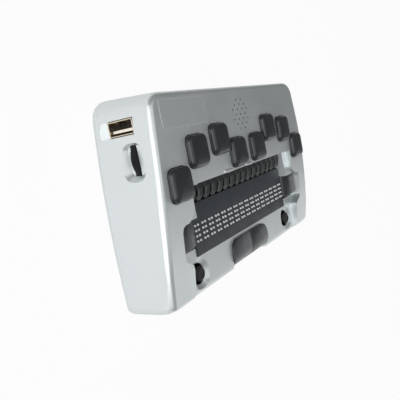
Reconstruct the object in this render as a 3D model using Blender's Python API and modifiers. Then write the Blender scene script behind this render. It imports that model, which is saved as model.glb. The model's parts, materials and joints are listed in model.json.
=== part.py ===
# Refreshable braille display: a 16-cell note-taker with braille keys, built as separate pieces.
# Lengths are in millimetres and become metres when a mesh is made. +X runs along the line of
# cells, +Y to the back, +Z up. The origin is on the table, under the middle of the case.
from math import atan, cos, pi, radians, sin, sqrt

import bmesh
import bpy
from mathutils import Vector

MM = 0.001
GAP = 0.3  # between two pieces that touch, or that slide on each other
OVERRUN = 5.0  # how far a cutter runs past what it cuts

# Braille line: standard dot and cell spacing
CELLS = 16
CELL_PITCH = 6.42
DOT_PITCH = 2.45
DOT_ROWS = 4
DOT_TRAVEL = 0.7
PIN_RADIUS = 0.62
PIN_TIP_RADIUS = 0.42
PIN_TIP_HEIGHT = 0.35
PIN_GAP = 0.33
PIN_SIDES = 6

# Levels, from the table up
FOOT_PROUD = 1.0
WALL = 2.2
SEAM_RISE = 4.5  # from the underside to the seam between the two shells
BATTERY_THICKNESS = 6.2
BOARD_THICKNESS = 1.6
BOARD_CLEARANCE = 0.6  # over the battery
CELL_HEIGHT = 9.5
CELL_BACK_DROP = 2.2  # the reeds' end of a cell is lower than its cap end
PLATE_THICKNESS = 2.0
PLATE_PROUD = 0.6  # over the deck round it
DECK_WALL = 2.0
CUP_RISE = 4.6  # floor of the two side cups, over the deck
CREST_RISE = 9.0  # highest line of the case, over the deck

# Depths, from the front edge to the back
FRONT_DECK = 17.5
PLATE_DEPTH = 24.0
PLATE_TO_FIRST_DOT = 10.0  # from the plate's back edge to the first row of dots
ROUTING_DEPTH = 8.6
BACK_FIELD = 43.3

# Case outline
SIDE_BOW_RADIUS = 480.0
WIDEST_FROM_FRONT = 16.5
TOP_ARC_RADIUS = 373.0
CREST_FROM_BACK = 22.5
BACK_CORNER = 9.0
BACK_LEAN = 2.0  # the back wall leans in by this much from the seam to its top edge
FRONT_CORNER = 4.0
EDGE_ROUND = 2.4
NOSE_DEPTH = 3.4
NOSE_DROP = 9.0
NOSE_BLEND = 9.0  # length over which the side's edge turns into the nose
BASE_ROUND = 3.6
KEY_MARGIN = 7.3  # from the outermost key to the widest part of the case

# Braille keys: dots 1 to 3 on the left, 4 to 6 on the right, 7 and 8 outermost
KEY_WIDTH = 15.0
KEY_DEPTH = 14.6
KEY_CORNER = 3.0
KEY_PROUD = 3.0
KEY_CROWN = 0.5
KEY_EDGE = 1.1
KEY_TRAVEL = 1.3
KEY_LIP = 0.6
KEY_LIP_THICKNESS = 1.1
KEY_SEAT_WALL = 1.6  # face left over the lip
KEY_MIDDLE_GAP = 7.0
KEY_SIDE_GAPS = (1.7, 5.6, 2.1)  # between neighbours, from the middle outwards
KEY_SETBACKS = (8.7, 17.2, 14.3, 2.4)  # centres behind the recess, from the middle outwards
STEM_RADIUS = 1.3

# Switches under the keys and buttons
SWITCH_SIDE = 6.0
SWITCH_HEIGHT = 3.5
SWITCH_ENTRY = 1.5  # how far a stem stands in its switch at rest
KEY_BOARD_DROP = 9.5  # from the crest to the key board's underside, under the wall
KEY_BOARD_SIDE_MARGIN = 4.5
KEY_BOARD_DEPTH = 28.8

# Side cups and function buttons
CUP_WIDTH = 5.2
CUP_DEPTH = 11.7
CUP_CORNER = 4.9
BAR_WIDTH = 3.3  # between a cup's floor edge and its button's pocket, rounded away inwards
POCKET_DEPTH = 15.6
POCKET_MARGIN = 0.9
POCKET_SLOPE = 2.6
CUP_FLARE = 3.0  # behind the button's pocket, where the cup's wall turns outwards
DECK_MARGIN = 10.4  # from the plate's side to the deck's shoulder
BUTTON_WIDTH = 15.4
BUTTON_DEPTH = 13.6
BUTTON_PROUD = 3.1
BUTTON_TRAVEL = 1.0
BUTTON_CORNER = 3.0

# Space keys, in a notch of the front edge
SPACE_WIDTH = 20.5
SPACE_SETBACK = 3.5  # behind which the plate's front edge lies
SPACE_PROUD = 1.4
SPACE_TRAVEL = 1.2
SPACE_CORNER = 6.0
SPACE_HEIGHT = 7.8
SPACE_EDGE = 1.5
SPACE_NOSE_DEPTH = 7.0  # the keys' front rolls down over this depth
SPACE_NOSE_DROP = 6.8
SPACE_FRONT_SETBACK = 1.0
DECK_NOSE = 3.2

# Routing keys, one behind each cell
ROUTING_TOP_RISE = 1.9  # of the side ribs, over the display
ROUTING_HOLLOW = 0.9
ROUTING_NOSE = 2.2
ROUTING_TRAVEL = 0.6
ROUTING_ARC_SHARES = (-1.0, -0.8, -0.45, 0.0, 0.45, 0.8, 1.0)

# Joysticks
STICK_FROM_FRONT = 9.5
STICK_INSET = 0.3  # its axis outside the plate's side
STICK_HOLE = 5.1
STICK_DISH = 7.6
STICK_DISH_DEPTH = 1.5
STICK_CAP_RADIUS = 4.0
STICK_CAP_HEIGHT = 1.9
STICK_CAP_PROUD = 0.8
STICK_STEM_RADIUS = 1.3
STICK_BALL_RADIUS = 2.0
STICK_BASE_SIDE = 10.0
STICK_BASE_HEIGHT = 6.4
STICK_RING_OUTER = 3.9
STICK_RING_HEIGHT = 1.6

# Speaker and its grille
SPEAKER_FROM_BACK = 16.3
SPEAKER_RADIUS = 10.0
SPEAKER_HEIGHT = 4.0
GRILLE_HOLE = 0.5
GRILLE_ROW_PITCH = 2.45
GRILLE_PITCH = 5.0
GRILLE_SIDES = 6

# Left side: host socket and volume wheel
SOCKET_FROM_BACK = 13.3
SOCKET_HEIGHT = 13.4
SOCKET_WIDTH = 6.5
SOCKET_DEPTH = 13.5
SOCKET_SHEET = 0.5
SOCKET_RECESS = 0.4
SOCKET_SINK = 1.2  # the socket's body stands this deep in a notch of the board
SOCKET_RAMP_HEIGHT = 4.6  # the wall slopes in below the socket's mouth
SOCKET_RAMP_DEPTH = 1.4
TONGUE_THICKNESS = 1.8
TONGUE_WIDTH = 11.1
TONGUE_RECESS = 1.2
WHEEL_FROM_BACK = 27.5
WHEEL_RADIUS = 9.0
WHEEL_RIB = 0.45
WHEEL_RIBS = 20
WHEEL_THICKNESS = 2.8
WHEEL_CHAMFER = 0.4
WHEEL_Z_DROP = 12.5  # from the crest to the wheel's middle
DISH_LENGTH = 16.2
DISH_HEIGHT = 10.9
DISH_DEPTH = 2.5
DISH_CORNER = 4.0
DISH_RISE = 0.4  # the dish reaches higher than the wheel
DISH_SLOPE = 1.9
POT_RADIUS = 4.0
POT_HEIGHT = 6.0
POT_NECK_RADIUS = 3.0
POT_SHAFT_RADIUS = 1.5

# Right side: charging socket, headphone jack and power slider
CHARGE_FROM_BACK = 20.0
CHARGE_WIDTH = 7.7
CHARGE_HEIGHT = 4.0
CHARGE_DEPTH = 9.0
CHARGE_MOUTH_DEPTH = 6.0
JACK_FROM_BACK = 34.0
JACK_SIDE = 6.4
JACK_LENGTH = 12.0
JACK_BORE = 1.8
JACK_BORE_DEPTH = 10.0
POWER_FROM_BACK = 50.0
POWER_BODY = (5.0, 9.6, 5.0)
POWER_KNOB = (5.4, 3.2, 2.2)
POWER_TRAVEL = 3.0
POWER_PROUD = 0.7
POWER_STEP = 0.4  # how deep the knob's foot stands in the switch

# Bottom shell, feet, screws and what stands on it
FOOT_RADIUS = 5.0
FOOT_SEAT = 1.0
FOOT_SIDES = 16
FOOT_FROM_SIDE = 14.0
FOOT_FROM_END = 13.0
FOOT_NAMES = ("front_left", "back_left", "front_right", "back_right")
SCREW_FROM_SIDE = 14.2
SCREW_FROM_END = 6.0
SCREW_HEAD_RADIUS = 2.2
SCREW_HEAD_HEIGHT = 1.5
SCREW_HEAD_SINK = 0.8
SCREW_SHANK_RADIUS = 1.2
SCREW_LENGTH = 14.0
BOSS_RADIUS = 3.0
BOSS_SPLIT_RISE = 3.0  # where the two shells' bosses meet, over the seam
POST_RADIUS = 2.5
POST_FROM_SIDE = 23.3
POST_FROM_END = 22.0
HANGER_CLEARANCE = 2.2  # in front of and behind the second key
BATTERY_WIDTH = 90.0
BATTERY_DEPTH = 50.0
BATTERY_Y = 5.0
MAIN_BOARD_SIDE_GAP = 3.6
MAIN_BOARD_END_GAP = 9.1
BACKPLANE_MARGIN = 1.0

# Facets of round forms
ROUND_SIDES = 12
CORNER_STEPS = 2
SMOOTH_STEPS = 4
ARC_STEPS = 4
SIDE_STATIONS = 8
ROUND_ANGLES = (0, 30, 60, 90)

# Places that follow from the sizes
PLATE_HALF = CELLS * CELL_PITCH / 2
CASE_DEPTH = FRONT_DECK + PLATE_DEPTH + GAP + ROUTING_DEPTH + GAP + BACK_FIELD
FRONT_Y = -CASE_DEPTH / 2
BACK_Y = CASE_DEPTH / 2
PLATE_FRONT_Y = FRONT_Y + FRONT_DECK
PLATE_BACK_Y = PLATE_FRONT_Y + PLATE_DEPTH
ROUTING_FRONT_Y = PLATE_BACK_Y + GAP
ROUTING_BACK_Y = ROUTING_FRONT_Y + ROUTING_DEPTH
RECESS_BACK_Y = ROUTING_BACK_Y + GAP
FIRST_DOT_Y = PLATE_BACK_Y - PLATE_TO_FIRST_DOT
CELL_FRONT_Y = FIRST_DOT_Y - DOT_PITCH * (DOT_ROWS + 1)
CELL_BACK_Y = BACK_Y - WALL - BACK_LEAN - GAP

BASE_Z = FOOT_PROUD
FLOOR_Z = BASE_Z + WALL
SEAM_Z = BASE_Z + SEAM_RISE
MAIN_BOARD_Z = FLOOR_Z + GAP + BATTERY_THICKNESS + BOARD_CLEARANCE
MAIN_TOP_Z = MAIN_BOARD_Z + BOARD_THICKNESS
BACKPLANE_TOP_Z = MAIN_TOP_Z + GAP + BOARD_THICKNESS
CELL_TOP_Z = BACKPLANE_TOP_Z + GAP + CELL_HEIGHT
PLATE_Z = CELL_TOP_Z + GAP
DISPLAY_Z = PLATE_Z + PLATE_THICKNESS
PIN_TOP_Z = DISPLAY_Z + DOT_TRAVEL
DECK_Z = DISPLAY_Z - PLATE_PROUD
CUP_Z = DECK_Z + CUP_RISE
CREST_Z = DECK_Z + CREST_RISE
KEY_BOARD_Z = CREST_Z - WALL - KEY_BOARD_DROP
KEY_BOARD_TOP_Z = KEY_BOARD_Z + BOARD_THICKNESS
WHEEL_Z = CREST_Z - WHEEL_Z_DROP
CREST_Y = BACK_Y - CREST_FROM_BACK
WIDEST_Y = FRONT_Y + WIDEST_FROM_FRONT

KEY_XS = [KEY_MIDDLE_GAP / 2 + KEY_WIDTH / 2]
for side_gap in KEY_SIDE_GAPS:
    KEY_XS.append(KEY_XS[-1] + KEY_WIDTH + side_gap)
CASE_HALF_WIDTH = KEY_XS[-1] + KEY_WIDTH / 2 + KEY_MARGIN
KEY_DOTS = ((1, 2, 3, 7), (4, 5, 6, 8))  # left and right hand, from the middle outwards
DOT_NUMBERS = ((1, 4), (2, 5), (3, 6), (7, 8))  # rows of a cell, back to front

BUTTON_X = PLATE_HALF + GAP + BUTTON_WIDTH / 2
BUTTON_BACK_Y = RECESS_BACK_Y - CUP_DEPTH - BAR_WIDTH - GAP
BUTTON_Y = BUTTON_BACK_Y - BUTTON_DEPTH / 2
STICK_X = PLATE_HALF + STICK_INSET
STICK_Y = FRONT_Y + STICK_FROM_FRONT
STICK_BASE_TOP_Z = MAIN_TOP_Z + STICK_BASE_HEIGHT
STICK_PIVOT_Z = STICK_BASE_TOP_Z - STICK_BALL_RADIUS
SPACE_BACK_Y = PLATE_FRONT_Y - SPACE_SETBACK
SPACE_FRONT_Y = FRONT_Y + SPACE_FRONT_SETBACK
SPACE_X = SPACE_WIDTH / 2
SPACE_Y = (SPACE_BACK_Y + SPACE_FRONT_Y) / 2
SPACE_TOP_Z = DECK_Z + SPACE_PROUD
SPACE_BOTTOM_Z = SPACE_TOP_Z - SPACE_HEIGHT
SPEAKER_Y = BACK_Y - SPEAKER_FROM_BACK
SOCKET_Y = BACK_Y - SOCKET_FROM_BACK
SOCKET_LOW_Z = MAIN_TOP_Z + GAP - SOCKET_SINK
WHEEL_Y = BACK_Y - WHEEL_FROM_BACK
CHARGE_Y = BACK_Y - CHARGE_FROM_BACK
JACK_Y = BACK_Y - JACK_FROM_BACK
POWER_Y = BACK_Y - POWER_FROM_BACK


def side_x(y):
    """Half the case's width at a depth y: the sides are long arcs in plan."""
    return CASE_HALF_WIDTH - (y - WIDEST_Y) ** 2 / (2 * SIDE_BOW_RADIUS)


def face_z(y):
    """Height of the top face: flat at the back, a long arc down to the front."""
    return CREST_Z - max(0.0, CREST_Y - y) ** 2 / (2 * TOP_ARC_RADIUS)


def inside_x(y, half_length):
    """How far out something flat may reach inside the bowed side wall."""
    return side_x(y + half_length) - WALL - GAP


WHEEL_X = side_x(WHEEL_Y) - WHEEL_RADIUS
SCREW_X = side_x(0.0) - SCREW_FROM_SIDE
SCREW_PLACES = [(side * SCREW_X, y) for side in (-1, 1)
                for y in (FRONT_Y + SCREW_FROM_END, BACK_Y - SCREW_FROM_END)]
POST_X = side_x(0.0) - POST_FROM_SIDE
POST_YS = (FRONT_Y + POST_FROM_END, BACK_Y - POST_FROM_END)
HANGER_REACH = KEY_DEPTH / 2 + HANGER_CLEARANCE
HANGER_PLACES = ((KEY_XS[1], RECESS_BACK_Y + KEY_SETBACKS[1] - HANGER_REACH),
                 ((KEY_XS[1] + KEY_XS[2]) / 2, RECESS_BACK_Y + KEY_SETBACKS[1] + HANGER_REACH))


# Scene and materials
for obj in list(bpy.data.objects):
    bpy.data.objects.remove(obj, do_unlink=True)
part_collection = bpy.data.collections.new("refreshable_braille_display")
cutter_collection = bpy.data.collections.new("cutters")
bpy.context.scene.collection.children.link(part_collection)
bpy.context.scene.collection.children.link(cutter_collection)
cutter_collection.hide_render = True


def material(name, colour, roughness, metallic=0.0):
    made = bpy.data.materials.new(name)
    made.use_nodes = True
    shader = made.node_tree.nodes["Principled BSDF"]
    shader.inputs["Base Color"].default_value = (*colour, 1.0)
    shader.inputs["Roughness"].default_value = roughness
    shader.inputs["Metallic"].default_value = metallic
    return made


SILVER_PAINT = material("silver_painted_abs", (0.55, 0.57, 0.57), 0.38)
KEY_PLASTIC = material("charcoal_abs", (0.04, 0.042, 0.048), 0.42)
PLATE_PLASTIC = material("slate_abs", (0.042, 0.05, 0.06), 0.5)
PIN_PLASTIC = material("white_acetal", (0.85, 0.86, 0.88), 0.35)
BOARD_LAMINATE = material("green_board_laminate", (0.02, 0.16, 0.07), 0.5)
CELL_PLASTIC = material("black_cell_moulding", (0.03, 0.03, 0.032), 0.55)
BATTERY_WRAP = material("battery_wrap", (0.05, 0.12, 0.3), 0.45)
SOCKET_METAL = material("nickel_plated_steel", (0.72, 0.68, 0.58), 0.28, 1.0)
TONGUE_PLASTIC = material("cream_nylon", (0.82, 0.78, 0.68), 0.5)
RUBBER = material("black_rubber", (0.025, 0.025, 0.025), 0.8)


# Makers of shapes
def publish(name, bm, finish=None, origin=(0.0, 0.0, 0.0), collection=part_collection):
    """Turn a bmesh drawn in millimetres into an object whose origin is at a point of the model."""
    bmesh.ops.translate(bm, verts=bm.verts, vec=-Vector(origin))
    bmesh.ops.scale(bm, verts=bm.verts, vec=(MM, MM, MM))
    bmesh.ops.recalc_face_normals(bm, faces=bm.faces)
    mesh = bpy.data.meshes.new(name)
    bm.to_mesh(mesh)
    bm.free()
    obj = bpy.data.objects.new(name, mesh)
    obj.location = Vector(origin) * MM
    collection.objects.link(obj)
    if finish:
        mesh.materials.append(finish)
    return obj


def cutter(name, bm):
    obj = publish(name, bm, collection=cutter_collection)
    obj.hide_render = True
    obj.display_type = "WIRE"
    return obj


def combine(target, operation, *tools):
    """Cut tools out of a piece, or join them to it, in the order given."""
    for tool in tools:
        modifier = target.modifiers.new(tool.name, "BOOLEAN")
        modifier.operation = operation
        modifier.solver = "EXACT"
        modifier.object = tool


def box(bm, low, high, edge_radius=0.0, steps=CORNER_STEPS, axis="Z"):
    """A block between two corners, its edges along one axis rounded."""
    verts = bmesh.ops.create_cube(bm, size=1.0)["verts"]
    size = [b - a for a, b in zip(low, high)]
    bmesh.ops.scale(bm, verts=verts, vec=size)
    bmesh.ops.translate(bm, verts=verts, vec=[(a + b) / 2 for a, b in zip(low, high)])
    if edge_radius:
        along = "XYZ".index(axis)
        edges = {edge for vert in verts for edge in vert.link_edges}
        across = [edge for edge in edges
                  if abs((edge.verts[0].co - edge.verts[1].co)[along]) > size[along] / 2]
        bmesh.ops.bevel(bm, geom=across, offset=edge_radius, segments=steps,
                        affect="EDGES", profile=0.5)


def rod(bm, x, y, low_z, high_z, radius, top_radius=None, sides=ROUND_SIDES):
    """An upright cylinder or cone."""
    verts = bmesh.ops.create_cone(bm, cap_ends=True, segments=sides, radius1=radius,
                                  radius2=radius if top_radius is None else top_radius,
                                  depth=high_z - low_z)["verts"]
    bmesh.ops.translate(bm, verts=verts, vec=(x, y, (low_z + high_z) / 2))


def side_rod(bm, low_x, high_x, y, z, radius, sides=ROUND_SIDES):
    """A cylinder lying along X."""
    verts = bmesh.ops.create_cone(bm, cap_ends=True, segments=sides, radius1=radius,
                                  radius2=radius, depth=high_x - low_x)["verts"]
    for vert in verts:
        vert.co = Vector((vert.co.z, vert.co.y, vert.co.x))
    bmesh.ops.translate(bm, verts=verts, vec=((low_x + high_x) / 2, y, z))


def loft(bm, rings):
    """Skin rings that have the same number of points, and close both ends."""
    loops = [[bm.verts.new(point) for point in ring] for ring in rings]
    for low, high in zip(loops, loops[1:]):
        for i in range(len(low)):
            j = (i + 1) % len(low)
            bm.faces.new((low[i], low[j], high[j], high[i]))
    bm.faces.new(loops[0][::-1])
    bm.faces.new(loops[-1])
    return loops


def rounded(corners, steps=CORNER_STEPS):
    """An outline through corners (x, y, radius), each turned into an arc."""
    points = []
    for k, (x, y, radius) in enumerate(corners):
        here = Vector((x, y))
        before = (Vector(corners[k - 1][:2]) - here).normalized()
        after = (Vector(corners[(k + 1) % len(corners)][:2]) - here).normalized()
        half = before.angle(after) / 2
        centre = here + (before + after).normalized() * radius / sin(half)
        start = here + before * radius / (sin(half) / cos(half)) - centre
        turn = start.angle_signed(here + after * radius / (sin(half) / cos(half)) - centre)
        for step in range(steps + 1):
            angle = -turn * step / steps
            points.append((centre.x + start.x * cos(angle) - start.y * sin(angle),
                           centre.y + start.x * sin(angle) + start.y * cos(angle)))
    return points


def plate(bm, outline, low_z, high_z):
    loft(bm, [[(x, y, z) for x, y in outline] for z in (low_z, high_z)])


def block_ring(low_x, high_x, low_y, high_y, z, radius, steps=CORNER_STEPS):
    """A level ring with four rounded corners, for lofts of keys and buttons."""
    corners = [(low_x, low_y, radius), (high_x, low_y, radius),
               (high_x, high_y, radius), (low_x, high_y, radius)]
    return [(x, y, z) for x, y in rounded(corners, steps)]


def turned(name, profile, x, y, finish, sides=ROUND_SIDES):
    """A turned piece: a profile of (radius, z), from the axis at the top to the axis below."""
    mesh = bpy.data.meshes.new(name)
    points = [(radius * MM, 0.0, z * MM) for radius, z in profile]
    mesh.from_pydata(points, [(i, i + 1) for i in range(len(points) - 1)], [])
    mesh.materials.append(finish)
    obj = bpy.data.objects.new(name, mesh)
    obj.location = (x * MM, y * MM, 0.0)
    part_collection.objects.link(obj)
    screw = obj.modifiers.new("turn", "SCREW")
    screw.steps = screw.render_steps = sides
    screw.use_merge_vertices = True
    screw.merge_threshold = GAP * MM / ROUND_SIDES / ROUND_SIDES
    return obj


# The case: one outline in plan, inset step by step for its rounded edges and its wall
def case_stations():
    """Right half of the outline, front to back, as points with outward normals."""
    stations = []
    front_centre_y = FRONT_Y + FRONT_CORNER
    front_centre_x = side_x(front_centre_y) - FRONT_CORNER
    for step in range(ARC_STEPS + 1):
        angle = -pi / 2 + pi / 2 * step / ARC_STEPS
        stations.append((front_centre_x, front_centre_y, FRONT_CORNER, angle))
    back_centre_y = BACK_Y - BACK_CORNER
    back_start = -atan((WIDEST_Y - back_centre_y) / SIDE_BOW_RADIUS)
    back_start_y = back_centre_y + BACK_CORNER * sin(back_start)
    back_centre_x = side_x(back_start_y) - BACK_CORNER * cos(back_start)
    for step in range(1, SIDE_STATIONS):
        y = front_centre_y + (back_start_y - front_centre_y) * step / SIDE_STATIONS
        stations.append((side_x(y), y, 0.0, atan((y - WIDEST_Y) / SIDE_BOW_RADIUS)))
    for step in range(ARC_STEPS + 1):
        angle = back_start + (pi / 2 - back_start) * step / ARC_STEPS
        stations.append((back_centre_x, back_centre_y, BACK_CORNER, angle))
    return [(x + radius * cos(angle), y + radius * sin(angle), cos(angle), sin(angle))
            for x, y, radius, angle in stations]


def nose_amount(y):
    """0 along the sides and back, 1 at the front edge."""
    return min(1.0, max(0.0, (FRONT_Y + NOSE_BLEND - y) / NOSE_BLEND))


def case_ring(inset_at, height_at):
    """A closed ring round the case, from functions of the station's y."""
    right = []
    for x, y, normal_x, normal_y in case_stations():
        rise_share = (height_at(y, y) - SEAM_Z) / (CREST_Z - SEAM_Z)
        lean = BACK_LEAN * max(0.0, normal_y) * max(0.0, rise_share)
        inset = inset_at(y) + lean
        point_y = y - inset * normal_y
        right.append((x - inset * normal_x, point_y, height_at(y, point_y)))
    left = [(-x, y, z) for x, y, z in reversed(right)]
    return right + left


def case_skin(bm, rings):
    """Loft the rings and close the last one with strips from side to side, so it may be curved."""
    loops = [[bm.verts.new(point) for point in ring] for ring in rings]
    for low, high in zip(loops, loops[1:]):
        for i in range(len(low)):
            j = (i + 1) % len(low)
            bm.faces.new((low[i], low[j], high[j], high[i]))
    bm.faces.new(loops[0][::-1])
    top = loops[-1]
    for i in range(len(top) // 2 - 1):
        bm.faces.new((top[i], top[i + 1], top[-2 - i], top[-1 - i]))


def top_rings():
    def round_in(y):
        return EDGE_ROUND + (NOSE_DEPTH - EDGE_ROUND) * nose_amount(y)

    def round_down(y):
        return EDGE_ROUND + (NOSE_DROP - EDGE_ROUND) * nose_amount(y)

    rings = [case_ring(lambda y: 0.0, lambda y, point_y: SEAM_Z)]
    for degrees in ROUND_ANGLES:
        angle = radians(degrees)
        rings.append(case_ring(
            lambda y: round_in(y) * (1 - cos(angle)),
            lambda y, point_y: face_z(point_y) - round_down(y) * (1 - sin(angle))))
    return rings


def bottom_rings():
    rings = []
    for degrees in ROUND_ANGLES:
        angle = radians(degrees)
        rings.append(case_ring(
            lambda y: BASE_ROUND * (1 - sin(angle)),
            lambda y, point_y: BASE_Z + BASE_ROUND * (1 - cos(angle))))
    rings.append(case_ring(lambda y: 0.0, lambda y, point_y: SEAM_Z - GAP))
    return rings


def deck_outline(grow):
    """The deck's outline: the plate's recess, a pocket for each button, and the way to the front."""
    plate_x = PLATE_HALF + GAP + GAP + grow
    pocket_x = BUTTON_X + BUTTON_WIDTH / 2 + POCKET_MARGIN + grow
    deck_x = PLATE_HALF + DECK_MARGIN + grow
    pocket_back = BUTTON_BACK_Y + GAP + grow
    pocket_front = BUTTON_BACK_Y - POCKET_DEPTH - grow
    corner = BUTTON_CORNER + grow
    right = [(deck_x, FRONT_Y - OVERRUN, GAP),
             (deck_x, pocket_front - POCKET_SLOPE, BUTTON_CORNER),
             (pocket_x, pocket_front, corner),
             (pocket_x, pocket_back, corner),
             (plate_x, pocket_back, GAP),
             (plate_x, RECESS_BACK_Y + GAP + grow, GAP)]
    left = [(-x, y, radius) for x, y, radius in reversed(right)]
    return rounded(right + left)


def cup_outline(side, grow):
    inner = PLATE_HALF - OVERRUN
    outer = PLATE_HALF + GAP + CUP_WIDTH + grow
    flare_x = BUTTON_X + BUTTON_WIDTH / 2 + POCKET_MARGIN
    flare_y = BUTTON_BACK_Y + GAP + CUP_FLARE
    front = BUTTON_BACK_Y + GAP - BUTTON_CORNER - grow
    back = RECESS_BACK_Y + grow
    corners = [(inner, front, GAP), (flare_x, front, GAP), (outer, flare_y, CUP_CORNER),
               (outer, back, GAP + grow), (inner, back, GAP)]
    if side < 0:
        corners = [(-x, y, radius) for x, y, radius in reversed(corners)]
    return rounded(corners)


def key_places():
    """Name, centre x, centre y of the eight braille keys."""
    for side, dots in zip((-1, 1), KEY_DOTS):
        for dot, x, setback in zip(dots, KEY_XS, KEY_SETBACKS):
            yield f"key_dot_{dot}", side * x, RECESS_BACK_Y + setback


def key_seat_z(y):
    """Level face over a key's lip, under the arched top."""
    return face_z(y - KEY_DEPTH / 2) - KEY_SEAT_WALL


def key_ring(x, y, grow, z, radius, lip=0.0):
    """A ring of a braille key. Its lip is on the back and on the side away from the middle."""
    half_x, half_y = KEY_WIDTH / 2 + grow, KEY_DEPTH / 2 + grow
    left_lip, right_lip = (lip, 0.0) if x < 0 else (0.0, lip)
    return block_ring(x - half_x - left_lip, x + half_x + right_lip, y - half_y,
                      y + half_y + lip, z, radius)


def outward(side, low_x, high_x):
    """The two X limits of something on one side of the case."""
    return (low_x, high_x) if side > 0 else (-high_x, -low_x)


def cavity():
    """Inside of the top shell, with the deck, the cups and the dish left standing in it."""
    bm = bmesh.new()
    rings = [case_ring(lambda y: WALL, lambda y, point_y: SEAM_Z - OVERRUN),
             case_ring(lambda y: WALL, lambda y, point_y: face_z(point_y) - WALL)]
    case_skin(bm, rings)
    space = cutter("case_cavity", bm)
    bm = bmesh.new()
    plate(bm, deck_outline(WALL), DECK_Z - DECK_WALL, CREST_Z + OVERRUN)
    keep = [cutter("deck_wall", bm)]
    for side, name in ((-1, "left"), (1, "right")):
        bm = bmesh.new()
        plate(bm, cup_outline(side, WALL), CUP_Z - DECK_WALL, CREST_Z + OVERRUN)
        keep.append(cutter(f"cup_wall_{name}", bm))
    bm = bmesh.new()
    half_length = DISH_LENGTH / 2 + WALL
    dish_z = WHEEL_Z + DISH_RISE
    box(bm, (-CASE_HALF_WIDTH - OVERRUN, WHEEL_Y - half_length, dish_z - DISH_HEIGHT / 2 - WALL),
        (DISH_DEPTH + WALL - side_x(WHEEL_Y), WHEEL_Y + half_length, CREST_Z + OVERRUN))
    keep.append(cutter("dish_wall", bm))
    combine(space, "DIFFERENCE", *keep)
    return space


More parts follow.
